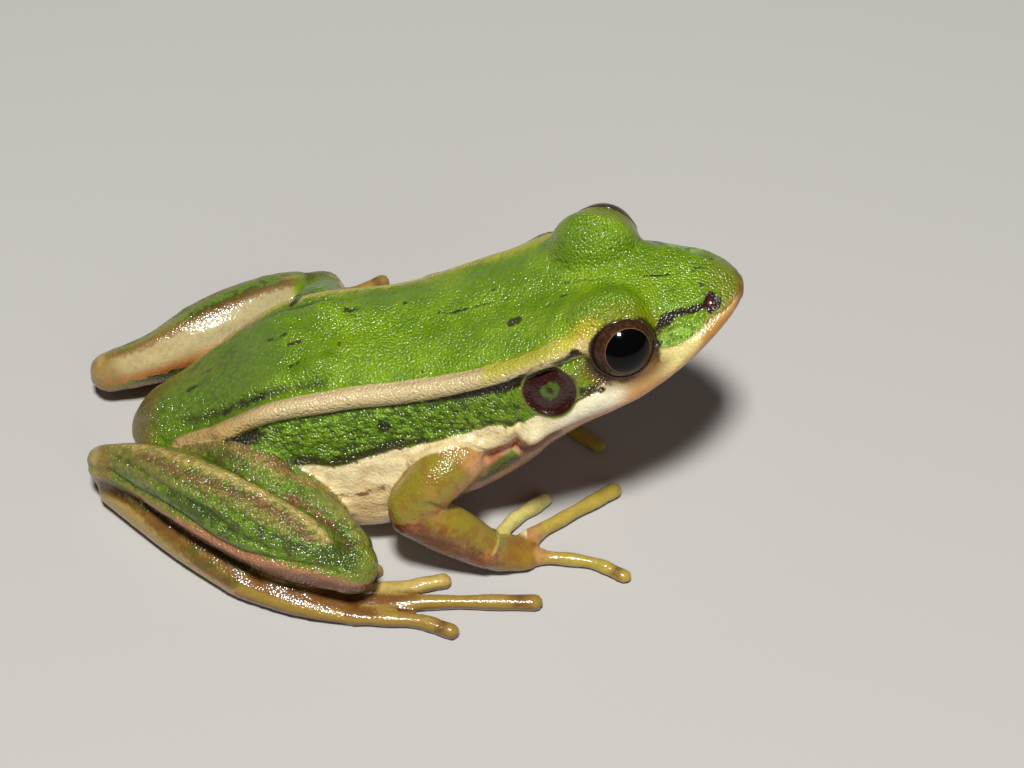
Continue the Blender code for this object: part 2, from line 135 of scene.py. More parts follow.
# %% Closing a surface from its rings
def closed_tube(rings):
    """Points and faces of a tube through rings of points, with a fan of triangles on each end."""
    count, around = rings.shape[:2]
    points = np.concatenate([rings.reshape(-1, 3), rings[:1].mean(1), rings[-1:].mean(1)])
    row, column = np.divmod(np.arange((count - 1) * around), around)
    here, beside = row * around + column, row * around + (column + 1) % around
    faces = np.stack([here, beside, beside + around, here + around], 1).tolist()
    column = np.arange(around)
    beside, start, tip = (column + 1) % around, (count - 1) * around, count * around
    faces += np.stack([np.full(around, tip), beside, column], 1).tolist()
    faces += np.stack([np.full(around, tip + 1), start + column, start + beside], 1).tolist()
    return points, faces


def body():
    """The whole body: the left half's slices, then the same mirrored to the right."""
    turn = (1 - np.cos(np.linspace(0, np.pi, SLICES))) / 2
    x = TAIL_END + 0.01 + 0.5 * (turn + np.linspace(0, 1, SLICES)) * (SNOUT_TIP - TAIL_END - 0.02)
    left = body_surface(x[:, None], np.linspace(0, 4, ROUND_HALF)[None])
    right = left[:, -2:0:-1] * (1, -1, 1)
    return closed_tube(np.concatenate([left, right], 1))


# %% [markdown]
# A limb is a chain of short tubes. Each tube has a few stations: where its middle is, half its width
# and half its height. A smooth path runs through the stations, an ellipse is carried along it, and
# both ends close as half balls. The same path later tells each point of the skin how far along the
# limb it lies and on which side, which is how creases and colours find their place.

# %% The limbs' measures: x, y, z, half width and half height at each station
HIND_RIGHT = {
    "thigh": ((6.4, -3.6, 5.6, 3.2, 3.2), (12.4, -9.2, 6.9, 4.2, 4.3), (20.6, -15.6, 5.4, 2.9, 3.0)),
    "shank": ((21.3, -16.9, 5.2, 2.6, 2.8), (15.2, -14.7, 6.4, 3.7, 4.0), (8.4, -10.8, 6.9, 3.7, 4.1),
              (2.0, -6.8, 5.6, 2.6, 3.1), (-2.6, -4.5, 3.8, 1.9, 2.4)),
    "tarsus": ((-2.0, -5.9, 1.9, 1.6, 1.9), (4.9, -11.8, 1.7, 1.6, 1.8), (10.6, -15.9, 1.5, 1.6, 1.6)),
    "foot": ((11.4, -16.4, 1.3, 1.5, 1.4), (16.0, -17.7, 1.1, 1.8, 1.2), (20.3, -17.8, 0.7, 2.5, 0.85)),
    "toe_1": ((17.0, -15.6, 0.6, 0.7, 0.7), (20.4, -13.8, 0.6, 0.6, 0.7)),
    "toe_2": ((20.4, -15.7, 0.65, 0.75, 0.75), (23.5, -14.1, 0.6, 0.6, 0.7)),
    "toe_3": ((21.5, -16.5, 0.65, 0.75, 0.75), (26.0, -16.0, 0.6, 0.7, 0.7),
              (29.8, -15.2, 0.6, 0.75, 0.7)),
    "toe_4": ((22.5, -18.0, 0.65, 0.9, 0.75), (30.0, -17.6, 0.6, 0.7, 0.7),
              (38.4, -17.5, 0.6, 0.8, 0.7)),
    "toe_5": ((21.0, -19.5, 0.65, 0.75, 0.75), (27.4, -19.8, 0.6, 0.7, 0.7),
              (30.7, -20.9, 0.6, 0.75, 0.7)),
}
HIND_LEFT = {
    "thigh": ((6.4, 2.6, 5.2, 2.9, 3.1), (10.9, 8.4, 4.4, 3.2, 3.4), (16.0, 15.8, 5.2, 2.7, 3.0)),
    "shank": ((16.6, 16.7, 4.9, 2.4, 2.6), (11.8, 14.1, 5.9, 3.2, 3.4), (6.0, 10.8, 5.9, 3.3, 3.4),
              (0.4, 8.4, 4.6, 2.4, 2.6), (-4.0, 7.6, 3.3, 1.8, 2.1)),
    "tarsus": ((-3.2, 8.8, 1.9, 1.6, 1.8), (2.0, 11.8, 1.7, 1.7, 1.8), (6.4, 14.4, 1.5, 1.7, 1.6)),
    "foot": ((7.2, 14.9, 1.3, 1.6, 1.4), (10.9, 17.2, 1.1, 2.0, 1.2), (14.4, 18.7, 0.7, 2.6, 0.85)),
    "toe_1": ((11.6, 14.9, 0.6, 0.7, 0.7), (15.2, 13.7, 0.6, 0.6, 0.7)),
    "toe_2": ((14.9, 16.5, 0.65, 0.75, 0.75), (18.4, 16.0, 0.6, 0.6, 0.7)),
    "toe_3": ((15.7, 17.5, 0.65, 0.75, 0.75), (20.0, 18.0, 0.6, 0.7, 0.7), (23.8, 18.2, 0.6, 0.75, 0.7)),
    "toe_4": ((16.2, 19.0, 0.65, 0.9, 0.75), (23.5, 20.2, 0.6, 0.7, 0.7), (31.0, 20.8, 0.6, 0.8, 0.7)),
    "toe_5": ((14.6, 20.2, 0.65, 0.75, 0.75), (19.6, 21.1, 0.6, 0.7, 0.7), (22.2, 22.6, 0.6, 0.75, 0.7)),
}
FORE = {
    "upper_arm": ((31.6, -9.4, 12.0, 2.2, 2.4), (29.4, -11.2, 11.2, 2.4, 2.5),
                  (26.9, -12.5, 8.6, 2.2, 2.4)),
    "forearm": ((27.0, -12.7, 7.8, 2.2, 2.3), (30.4, -12.8, 5.4, 2.2, 2.6),
                (33.7, -12.9, 2.7, 1.9, 2.0)),
    "hand": ((34.8, -12.7, 1.7, 1.8, 1.6), (37.0, -12.0, 0.9, 2.0, 1.1)),
    "finger_1": ((35.0, -11.9, 0.7, 0.7, 0.7), (33.3, -9.9, 0.65, 0.7, 0.7),
                 (31.6, -8.5, 0.6, 0.7, 0.65)),
    "finger_2": ((34.9, -10.0, 0.7, 0.75, 0.75), (36.4, -7.8, 0.65, 0.7, 0.75),
                 (39.3, -5.4, 0.6, 0.75, 0.7)),
    "finger_3": ((37.6, -10.3, 0.75, 0.9, 0.85), (40.4, -8.1, 0.7, 0.8, 0.8),
                 (45.8, -4.2, 0.65, 0.95, 0.75)),
    "finger_4": ((38.4, -12.2, 0.7, 0.85, 0.8), (43.6, -12.8, 0.65, 0.75, 0.75),
                 (46.8, -14.3, 0.6, 0.8, 0.7)),
}
HIP_LEFT = ((14.5, 6.5, 11.5, 2.2, 2.2), (16.3, 10.0, 10.0, 2.2, 2.2), (16.8, 14.6, 6.6, 2.3, 2.3))
HAND_SHIFT = (-1.4, -2.8, 0.0)
HAND_SHARE = {"upper_arm": (0, 0, 0), "forearm": (0, 0.4, 1)}


# %% The limbs' paths and tubes
def left_arm(part, stations):
    """The right arm's stations mirrored, with the hand and wrist moved by HAND_SHIFT."""
    table = np.array(stations, float) * (1, -1, 1, 1, 1)
    table[:, :3] += np.outer(HAND_SHARE.get(part, [1] * len(table)), HAND_SHIFT)
    return table


LIMBS = {f"{part}_right": np.array(stations) for part, stations in {**HIND_RIGHT, **FORE}.items()}
LIMBS.update({f"{part}_left": np.array(stations) for part, stations in HIND_LEFT.items()})
LIMBS.update({f"{part}_left": left_arm(part, stations) for part, stations in FORE.items()})
SIDES = ("right", "left")
CAP_RINGS = 9


def limb_path(stations, count):
    """The limb's middle line at evenly spaced places, its half sizes, and its cross directions."""
    marks = np.arange(len(stations), dtype=float)
    at = np.linspace(0, marks[-1], 400)
    fine = np.stack([curve(np.column_stack([marks, column]), at) for column in stations.T], 1)
    run = np.concatenate([[0], np.cumsum(np.linalg.norm(np.diff(fine[:, :3], axis=0), axis=1))])
    heading = np.stack([np.gradient(fine[:, k], run) for k in range(3)], 1)
    cap = np.sin(np.linspace(0, 1, CAP_RINGS + 1)[1:-1] * np.pi / 2)
    first, last = fine[0, 3], fine[-1, 3]
    where = np.concatenate([-first * cap[::-1], np.linspace(0, run[-1], count), run[-1] + last * cap])
    inside = np.clip(where, 0, run[-1])
    keep = np.sqrt(1 - (1 - np.clip(1 + where / first, 0, 1)) ** 2)
    keep *= np.sqrt(1 - (1 - np.clip(1 + (run[-1] - where) / last, 0, 1)) ** 2)
    pick = lambda table: np.stack([np.interp(inside, run, column) for column in table.T], 1)
    fine, heading = pick(fine), pick(heading)
    heading /= np.linalg.norm(heading, axis=1)[:, None]
    across = np.cross((0, 0, 1), heading)
    across /= np.linalg.norm(across, axis=1)[:, None]
    middle = fine[:, :3] + heading * (where - inside)[:, None]
    return {
        "middle": middle, "heading": heading, "across": across, "up": np.cross(heading, across),
        "wide": fine[:, 3], "high": fine[:, 4], "keep": keep, "along": inside / run[-1],
    }


def limb_tube(stations, count=48, sides=40):
    """An ellipse carried along the limb's path, drawn in to a half ball at both ends."""
    path = limb_path(stations, count)
    angle = np.arange(sides) * 2 * np.pi / sides
    wide, high = (path[size] * path["keep"] for size in ("wide", "high"))
    rim = (wide[:, None] * np.cos(angle))[..., None] * path["across"][:, None]
    rim += (high[:, None] * np.sin(angle))[..., None] * path["up"][:, None]
    return closed_tube(path["middle"][:, None] + rim)


PATHS = {name: limb_path(stations, 60) for name, stations in LIMBS.items()}
print(len(LIMBS), "limb pieces")

# %% [markdown]
# The webs between the toes are thin sheets that end in a hollow curve. Each is a ring of points that
# goes across on top and comes back underneath, carried out between two toes.

# %% Toe webs and eyelid domes
WEBS = (
    ("toe_1", "toe_2", 0.5, 0.2), ("toe_2", "toe_3", 0.7, 0.4), ("toe_3", "toe_4", 0.75, 0.4),
    ("toe_4", "toe_5", 0.45, 0.72),
)
WEB_HALF = 0.24
WEB_LEVEL = 0.5
LID_CENTRE, LID_RADIUS = np.array((45.0, 5.0, 24.6)), 4.15
LEFT_EYE_SHIFT = (-1.3, 0.3, 1.0)


def web(first, second, first_reach, second_reach):
    """A thin sheet between two toes: each ring runs between equal shares of their reach."""
    share = np.linspace(0, 1, 24)[:, None]
    a, b = (
        np.stack([np.interp(share[:, 0] * reach, path["along"], row) for row in path["middle"].T], 1)
        for path, reach in ((PATHS[first], first_reach), (PATHS[second], second_reach))
    )
    across = np.linspace(0, 1, 17)[None, :, None]
    sheet = a[:, None] * (1 - across) + b[:, None] * across
    hollow = 4 * across * (1 - across)
    back = (sheet[-1:] - sheet[:1]) * 0.35 * hollow * share[:, :, None] ** 2
    sheet = sheet - back
    sheet[..., 2] = WEB_LEVEL
    lift = np.array((0, 0, WEB_HALF))
    return closed_tube(np.concatenate([sheet + lift, sheet[:, ::-1] - lift], 1))


def of_side(point, side):
    """The point or direction on this side of the frog: +1 is the left and -1 the right."""
    return np.array(point) * (1, side, 1)


def eye_place(point, side):
    """An eye's or lid's point on this side. The head leans, so the left eye sits higher."""
    return of_side(point, side) + (side > 0) * np.array(LEFT_EYE_SHIFT)


def ball(centre, radius, rings=24, sides=48):
    """Points of a ball: circles of latitude, closed at both poles."""
    tilt = np.linspace(0, np.pi, rings + 2)[1:-1, None]
    turn = np.arange(sides)[None] * 2 * np.pi / sides
    flat, tall = np.sin(tilt), np.cos(tilt)
    rings = np.stack([flat * np.cos(turn), flat * np.sin(turn), tall + 0 * turn], -1)
    return closed_tube(centre + radius * rings)


# %% [markdown]
# Tubes that only poke through each other would show hard seams where a real frog has one skin. The
# pieces are joined into one mesh and cut into small cubes of space, a voxel remesh, which keeps only
# the outer surface. A few rounds of smoothing that does not shrink, each a step towards the
# neighbours' mean and a slightly larger step back, then heal the joints. The head and the near hand
# are divided once more, because their details are the smallest.

# %% One skin from all the pieces
VOXEL = 0.46
HEAD_FROM = 36.0
FINE_LIMBS = [f"{part}_right" for part in ("thigh", "shank", "tarsus", "upper_arm", "forearm", "hand")]
SMOOTHING = (0.5, -0.52)


def gather(shapes):
    """One mesh, in millimetres, that holds all the given points and faces."""
    points, faces, start = [], [], 0
    for shape_points, shape_faces in shapes:
        points.append(shape_points)
        faces += [[start + corner for corner in face] for face in shape_faces]
        start += len(shape_points)
    mesh = bpy.data.meshes.new("pieces")
    mesh.from_pydata(np.concatenate(points).tolist(), [], faces)
    return mesh


def read(mesh, group, key, width, kind=np.float32):
    """An array read from one of the mesh's lists, such as the vertices' co."""
    values = np.empty(len(getattr(mesh, group)) * width, kind)
    getattr(mesh, group).foreach_get(key, values)
    return values.reshape(-1, width) if width > 1 else values


def placed(name, data):
    """A new object in the scene, which shows this mesh, camera or light."""
    piece = bpy.data.objects.new(name, data)
    bpy.context.scene.collection.objects.link(piece)
    return piece


def remeshed(mesh, size):
    """The mesh's outer surface as small even quads."""
    holder = placed("pieces", mesh)
    cubes = holder.modifiers.new("cubes", "REMESH")
    cubes.mode = "VOXEL"
    cubes.voxel_size = size
    evaluated = holder.evaluated_get(bpy.context.evaluated_depsgraph_get())
    made = bpy.data.meshes.new_from_object(evaluated)
    bpy.data.objects.remove(holder)
    return made


def smoothed(points, edges, rounds, weight=1.0):
    """Points moved towards the mean of their neighbours and back a little more, in rounds."""
    both = np.concatenate([edges, edges[:, ::-1]])
    count = np.bincount(both[:, 0], minlength=len(points))[:, None]
    for step in SMOOTHING * rounds:
        total = [np.bincount(both[:, 0], points[both[:, 1], k], len(points)) for k in range(3)]
        points = points + step * weight * (np.stack(total, 1) / count - points)
    return points


def divided(mesh, chosen):
    """The mesh with every edge between chosen points cut in two."""
    fine = bmesh.new()
    fine.from_mesh(mesh)
    fine.verts.ensure_lookup_table()
    edges = [edge for edge in fine.edges if chosen[edge.verts[0].index] and chosen[edge.verts[1].index]]
    bmesh.ops.subdivide_edges(fine, edges=edges, cuts=1, use_grid_fill=True)
    fine.to_mesh(mesh)
    fine.free()
    return mesh


def near_limbs(points, names, margin=0.7):
    """Whether each point lies within half a width and a margin of the middle line of these limbs."""
    near = np.zeros(len(points), bool)
    for path in (PATHS[name] for name in names):
        for middle, size in zip(path["middle"], np.maximum(path["wide"], path["high"])):
            near |= ((points - middle) ** 2).sum(1) < (size + margin) ** 2
    return near

# %% Join the pieces, then smooth and divide the skin
shapes = [body(), limb_tube(np.array(HIP_LEFT))] + [limb_tube(stations) for stations in LIMBS.values()]
shapes += [ball(eye_place(LID_CENTRE, side), LID_RADIUS) for side in (-1, 1)]
shapes += [web(f"{a}_{side}", f"{b}_{side}", *reach) for a, b, *reach in WEBS for side in SIDES]
skin_mesh = remeshed(gather(shapes), VOXEL)
points = read(skin_mesh, "vertices", "co", 3).astype(float)
points = smoothed(points, read(skin_mesh, "edges", "vertices", 2, np.int32), 8)
skin_mesh.vertices.foreach_set("co", points.astype(np.float32).ravel())
head = (points[:, 0] > HEAD_FROM) & (points[:, 2] > 9)
skin_mesh = divided(skin_mesh, head | near_limbs(points, FINE_LIMBS))
points = read(skin_mesh, "vertices", "co", 3).astype(float)
edges = read(skin_mesh, "edges", "vertices", 2, np.int32)
points = smoothed(points, edges, 2)
print(len(points), "points in the skin,", len(skin_mesh.polygons), "faces")

# %% [markdown]
# Every point of the skin now gets an address: on the body its place x, its mark s and its distance
# below the fold, and on a limb how far along it lies. The body's address comes from a table of slices:
# the nearest point of the slice at the same x gives s.

# %% Addresses on the body
TABLE_X = np.linspace(TAIL_END, SNOUT_TIP, 420)
TABLE_S = np.linspace(0, 4, 161)
TABLE = body_surface(TABLE_X[:, None], TABLE_S[None])
STEPS = np.linalg.norm(np.diff(TABLE[..., 1:], axis=1), axis=2)
GIRTH = np.concatenate([np.zeros((len(TABLE_X), 1)), np.cumsum(STEPS, 1)], 1)


def in_table(x):
    """The table's row before x and the share of the way to the next row."""
    at = np.clip((x - TABLE_X[0]) / (TABLE_X[1] - TABLE_X[0]), 0, len(TABLE_X) - 1.001)
    return at.astype(int), at % 1


def girth(x, s):
    """Distance in millimetres from the back's middle line down round the slice at x to mark s."""
    row, share = in_table(x)
    column = np.clip(s / (TABLE_S[1] - TABLE_S[0]), 0, len(TABLE_S) - 1.001)
    c, t = column.astype(int), column % 1
    low, high = (GIRTH[row + k, c] * (1 - t) + GIRTH[row + k, c + 1] * t for k in (0, 1))
    return low * (1 - share) + high * share


def body_address(points):
    """Mark s of the nearest place of the slice, and the distance to it, positive outside. The place
    between the marks is where a parabola through the three nearest squared distances is lowest."""
    s, out = np.empty(len(points)), np.empty(len(points))
    for part in np.array_split(np.arange(len(points)), 12):
        row, share = in_table(points[part, 0])
        share = share[:, None, None]
        slices = TABLE[row, :, 1:] * (1 - share) + TABLE[row + 1, :, 1:] * share
        place = np.stack([np.abs(points[part, 1]), points[part, 2]], 1)
        away = np.linalg.norm(slices - place[:, None], axis=2)
        near, every = away.argmin(1), np.arange(len(part))
        before, at, after = (away[every, np.clip(near, 1, 159) + k] ** 2 for k in (-1, 0, 1))
        between_marks = np.clip(0.5 * (before - after) / (before - 2 * at + after + 1e-9), -0.5, 0.5)
        middle = 0.5 * (slices[:, 0] + slices[:, -1])
        nearest = slices[every, near]
        sign = np.sign(np.linalg.norm(place - middle, axis=1) - np.linalg.norm(nearest - middle, axis=1))
        inside_ends = (near > 0) & (near < 160)
        s[part] = TABLE_S[near] + between_marks * inside_ends * (TABLE_S[1] - TABLE_S[0])
        out[part] = away.min(1) * sign
    return s, out


x, y, z = points.T
s, off_body = body_address(points)
below_fold = girth(x, s) - girth(x, np.ones_like(x))
print("the skin lies", np.round(np.abs(off_body[off_body < 0.5]).mean(), 3), "mm off the body's slices")


# %% Addresses on the limbs
def ease(value):
    """0 below 0, 1 above 1 and a smooth step between."""
    value = np.clip(value, 0, 1)
    return value * value * (3 - 2 * value)


def limb_address(points, path):
    """How far along the nearest place is, across and up in half sizes, and the distance and way out."""
    core = np.flatnonzero(path["keep"] > 0.999)
    offset = points[:, None] - path["middle"][core][None]
    near = (offset**2).sum(2).argmin(1)
    offset = offset[np.arange(len(points)), near]
    near = core[near]
    wide, high = path["wide"][near], path["high"][near]
    a = (offset * path["across"][near]).sum(1) / wide
    b = (offset * path["up"][near]).sum(1) / high
    c = (offset * path["heading"][near]).sum(1) / wide
    reach = np.sqrt(a * a + b * b + c * c).clip(0.05)
    length = np.linalg.norm(offset, axis=1)
    return path["along"][near], a, b, length * (1 - 1 / reach), offset / length[:, None]


NAMES = list(LIMBS)
JOIN_WIDTH = 1.6
every_off = np.full((len(NAMES), len(points)), 9.0)
limb, off_limb = np.full(len(points), -1), np.full(len(points), 9.0)
along, across, upward = (np.zeros(len(points)) for _ in range(3))
outward = np.zeros((len(points), 3))
for number, path in enumerate(PATHS.values()):
    low, high = path["middle"].min(0) - 6, path["middle"].max(0) + 6
    close = np.flatnonzero(((points > low) & (points < high)).all(1))
    values = limb_address(points[close], path)
    every_off[number, close] = values[3]
    nearer = values[3] < off_limb[close]
    for kept, value in zip((along, across, upward, off_limb, outward), values):
        kept[close[nearer]] = value[nearer]
    limb[close[nearer]] = number
on_limb = ease(0.5 + (off_body - off_limb) / JOIN_WIDTH)
print("share of the skin on limbs", np.round((on_limb > 0.5).mean(), 2))

# %% [markdown]
# Lines on the skin, such as the edge of a lip or a crease along the shank, are drawn as a few
# addresses: (x, s) on the body, and (share along, degrees round) on a limb, where 0 degrees faces
# out sideways and 90 up on the right side. Each list becomes a smooth path in space, and all that
# follows needs only each skin point's distance to it.

# %% Lines drawn on the skin
def smooth_path(columns, count=70):
    """A smooth path through the rows of a short table, sampled evenly by row."""
    table, marks = np.array(columns, float), np.arange(len(columns), dtype=float)
    if len(marks) == 1:
        return np.repeat(table, 2, 0)
    at = np.linspace(0, marks[-1], count)
    return np.stack([curve(np.column_stack([marks, column]), at) for column in table.T], 1)


def on_body(addresses, side):
    """The path in space of (x, s) addresses on one side of the body."""
    x, s = smooth_path(addresses).T
    return body_surface(x, s) * (1, side, 1)


def on_limb_line(name, addresses):
    """The path in space of (along, degrees) addresses on a limb; the left side mirrors the right."""
    path = PATHS[name]
    along, angle = smooth_path(addresses).T
    angle = np.radians(180 - angle if name.endswith("left") else angle)
    order = np.argsort(path["along"], kind="stable")
    pick = lambda key: np.stack([
        np.interp(along, path["along"][order], column) for column in np.atleast_2d(path[key][order].T)
    ], -1)
    across, up, wide, high = (pick(key) for key in ("across", "up", "wide", "high"))
    return pick("middle") + across * wide * np.cos(angle)[:, None] + up * high * np.sin(angle)[:, None]


def distance_to(lines, reach=4.0):
    """Each skin point's distance to the nearest of the lines, up to the given reach."""
    nearest = np.full(len(points), reach)
    for line in lines:
        close = np.flatnonzero(((points > line.min(0) - reach) & (points < line.max(0) + reach)).all(1))
        for part in np.array_split(close, max(1, len(close) // 20000)):
            away = np.linalg.norm(points[part][:, None] - line[None], axis=2).min(1)
            nearest[part] = np.minimum(nearest[part], away)
    return nearest


def both(addresses):
    """Distance to a body line and its mirror image."""
    return distance_to([on_body(addresses, side) for side in (-1, 1)])


def limbs(part, addresses):
    """Distance to a line on both limbs of this kind."""
    return distance_to([on_limb_line(f"{part}_{side}", addresses) for side in SIDES])


def bump(distance, width):
    """1 on the line, falling smoothly to 0 over the given width."""
    return np.exp(-((distance / width) ** 2))


# %% [markdown]
# The relief of the skin is a list of soft ridges and grooves, each a height, a width and a line. The
# largest are the cream fold along each side of the back, the gland that hangs behind the corner of
# the mouth, the wavy ridge from there over the arm to the belly, and the creases of the folded leg.

# %% Relief
BODY_RELIEF = (
    (0.4, 1.0, ((44.0, 1.93), (41.5, 1.9), (39.3, 1.9), (38.0, 1.92))),
    (0.5, 0.9, ((38.2, 1.94), (37.7, 1.95))),
    (-0.55, 0.36, ((36.7, 1.66), (36.5, 1.84), (36.3, 2.1))),
    (-0.5, 0.5, ((40.0, 2.22), (38.0, 2.22), (36.3, 2.06), (35.2, 1.95), (33.8, 1.94))),
    (0.16, 0.45, ((50.0, 0.93), (51.5, 0.95), (53.4, 0.9))),
    (-0.28, 0.9, ((50.2, 1.42), (52.0, 1.45), (53.6, 1.4))),
    (0.22, 0.45, ((42.2, 1.1), (40.4, 1.06), (38.4, 1.12), (37.0, 1.22), (36.5, 1.42))),
    (0.34, 1.0, ((19.2, 0.5), (18.0, 0.53), (12.0, 0.6), (7.0, 0.62))),
    (0.5, 1.0, ((19.2, 0.47), (18.2, 0.52))),
    (-0.34, 0.8, ((16.4, 0.25), (15.8, 0.4), (15.6, 0.55))),
    (0.14, 0.9, ((15.0, 0.26), (18.0, 0.22), (21.5, 0.3))),
    (0.4, 1.1, ((42.6, 0.6), (42.2, 0.76), (42.0, 0.9))),
    (-0.2, 0.7, ((20.5, 0.72), (15.0, 0.78), (8.0, 0.8))),
    (-0.14, 1.2, ((21.0, 0.0), (26.0, 0.0), (34.0, 0.0), (38.0, 0.0))),
    (0.4, 1.2, ((41.6, 0.36), (40.6, 0.46), (40.0, 0.6), (39.8, 0.8))),
)
SHOULDER_RIDGE = (
    (26.9, -9.9, 12.0), (28.1, -9.9, 13.1), (28.8, -9.9, 13.8), (29.9, -9.9, 14.4), (30.6, -9.7, 14.6),
    (31.7, -9.5, 14.6), (32.5, -9.5, 14.4), (33.3, -9.6, 14.2), (34.1, -9.8, 14.3), (34.7, -9.9, 14.8),
    (35.4, -10.0, 15.7), (36.0, -9.9, 16.4),
)
SHANK_RIM = ((0.81, 98), (0.71, 95), (0.56, 93), (0.44, 99), (0.34, 102), (0.22, 100), (0.14, 89))
LIMB_RELIEF = (
    ("shank", -0.4, 0.34, (
        (0.92, 30), (0.81, 10), (0.7, 10), (0.59, 12), (0.5, 8), (0.42, 4), (0.31, 8), (0.22, 19),
        (0.14, 26), (0.03, 34))),
    ("shank", -0.28, 0.34, (
        (0.7, 42), (0.59, 38), (0.49, 38), (0.41, 33), (0.36, 28), (0.29, 31), (0.2, 33))),
    ("shank", -0.16, 0.35, ((0.62, 62), (0.5, 58), (0.38, 56), (0.28, 52))),
    ("shank", -0.2, 0.3, ((0.88, 66), (0.81, 56), (0.72, 46))),
    ("shank", 0.2, 0.5, ((0.75, -10), (0.6, -2), (0.45, -4), (0.3, 0), (0.12, 18))),
    ("shank", 0.26, 0.7, ((0.97, 90), *SHANK_RIM, (0.06, 66))),
    ("thigh", 0.5, 1.2, ((0.26, 88), (0.38, 82), (0.48, 70))),
    ("thigh", -0.14, 0.3, ((0.97, 100), (0.93, 84), (0.94, 62))),
    ("thigh", -0.12, 0.25, ((1.0, 96), (0.99, 70), (1.0, 40))),
    ("upper_arm", -0.25, 0.22, ((0.66, -30), (0.66, 0), (0.68, 24))),
    ("forearm", 0.14, 0.25, ((0.985, 20), (0.99, 60), (0.99, 100), (0.985, 150))),
)
FOLD_PROFILE = ((0.0, 0.85, 0.3), (1.45, 0.36, -0.42), (-1.5, 0.45, -0.14))
MEETING = (("thigh", "shank", 0.34, 0.36), ("shank", "tarsus", 0.35, 0.4))
KNEE_CLEAR = 3.4
MOUTH_LINE = (
    (38.6, 15.4), (40.5, 16.5), (42.5, 17.4), (44.5, 18.3), (46.5, 19.1), (48.5, 19.9), (50.5, 21.1),
    (52.5, 22.6), (54.5, 23.8), (57, 24.8),
)
EAR, EAR_AIM, EAR_RADIUS = (39.5, 8.9, 21.1), (0.05, 0.86, 0.5), 2.42
NOSTRIL, NOSTRIL_DEPTH, NOSTRIL_WIDTH = (53.75, 1.1), 0.5, 0.34
DIGITS = [part for part in LIMBS if "toe" in part or "finger" in part]

# %% Add up the relief
def from_ear(side):
    """Distance from the middle of this side's ear drum, measured in the drum's own plane."""
    aim = of_side(EAR_AIM, side) / np.linalg.norm(EAR_AIM)
    offset = points - of_side(EAR, side)
    depth = offset @ aim
    flat = np.linalg.norm(offset - depth[:, None] * aim, axis=1)
    return np.where(np.abs(depth) < 2.5, flat, 9.0)


mouth_gap = (z - curve(MOUTH_LINE, x)) * ease((x - 37.5) / 0.5)
in_head = ease((x - 38.6) / 1.2)
in_fold = ease((x - 1.5) / 3) * ease((43.5 - x) / 3) * (1 - on_limb)
ear = np.minimum(from_ear(-1), from_ear(1))
nostril = both([NOSTRIL])

relief = np.zeros(len(points))
for height, width, line in BODY_RELIEF:
    relief += height * bump(both(line), width)
for part, height, width, line in LIMB_RELIEF:
    relief += height * bump(limbs(part, line), width)
ridge_line = distance_to([smooth_path(SHOULDER_RIDGE) * (1, side, 1) for side in (1, -1)])
relief += 0.5 * bump(ridge_line, 0.62)
far_side = np.where(y > 0, ease((38 - x) / 8) * 0.4 - 0.2, 1.0)
for middle, width, height in FOLD_PROFILE:
    relief += height * bump(below_fold - middle, width) * in_fold * far_side
relief += 0.32 * bump(mouth_gap + 0.3, 1.7) * ease((x - 42) / 3.5) * ease((54.6 - x) / 3)
mouth_groove, chin_step = 0.2 * bump(mouth_gap, 0.2), 0.15 * ease(-mouth_gap / 0.4)
relief += in_head * (0.18 * bump(mouth_gap - 1.2, 0.8) - mouth_groove - chin_step)
drum_sunk = 0.2 * ease((EAR_RADIUS - ear) / 0.5)
relief += 0.14 * bump(ear - EAR_RADIUS, 0.28) - drum_sunk + 0.16 * bump(ear, 0.7)
relief += 0.07 * bump(nostril - 0.75, 0.35) - NOSTRIL_DEPTH * bump(nostril, NOSTRIL_WIDTH)


def off(part, side):
    """Distance from the surface of one limb piece."""
    return every_off[NAMES.index(f"{part}_{side}")]


def gap(first, second):
    """Sum of the distances to two limb pieces of one side: small only where they meet."""
    return np.minimum.reduce([off(first, side).clip(0) + off(second, side).clip(0) for side in SIDES])


knees = np.minimum.reduce([
    np.linalg.norm(points - PATHS[f"{part}_{side}"]["middle"][end], axis=1)
    for part, end in (("shank", 0), ("shank", -1)) for side in SIDES])
for first, second, depth, width in MEETING:
    for side in SIDES:
        a, b = off(first, side), off(second, side)
        close = ease((1.4 - np.maximum(a, b)) / 0.7)
        relief -= depth * bump(a - b, width) * close * ease((knees - KNEE_CLEAR) / 1.5)
print("relief from", relief.min().round(2), "to", relief.max().round(2), "mm")

# %% [markdown]
# The flank is crossed by fine wrinkles and the belly by long soft ones, and no two run alike. They
# come from smooth random lumps: a lattice of random numbers, blended from corner to corner. The lines
# where the lumps pass through zero form a net of creases, short on the flank and drawn out along the
# belly. The random numbers have a fixed seed, so every run makes the same skin.

# %% Wrinkles
FLANK_LUMPS = (0.95, 0.6, 0.55)


def lumps(position, size, seed):
    """Smooth lumps between -1 and 1: random values on a lattice of this size, blended in each cell."""
    table = np.random.default_rng(seed).uniform(-1, 1, (32, 32, 32))
    place = position / np.array(size, float)
    cell = np.floor(place).astype(int)
    part = ease(place - cell)
    total = np.zeros(len(position))
    for corner in np.ndindex(2, 2, 2):
        weight = np.prod(np.where(corner, part, 1 - part), axis=1)
        total += weight * table[tuple(((cell + corner) % 32).T)]
    return total


def net(size, seed):
    """A net of creases: 0 on the lines where either of two fields of lumps changes sign."""
    return np.minimum(np.abs(lumps(points, size, seed)), np.abs(lumps(points, size, seed + 1)))


def on_piece(*parts):
    """Whether the limb piece nearest to each skin point has a name that starts like this."""
    return np.isin(limb, [number for number, name in enumerate(NAMES) if name.startswith(parts)])


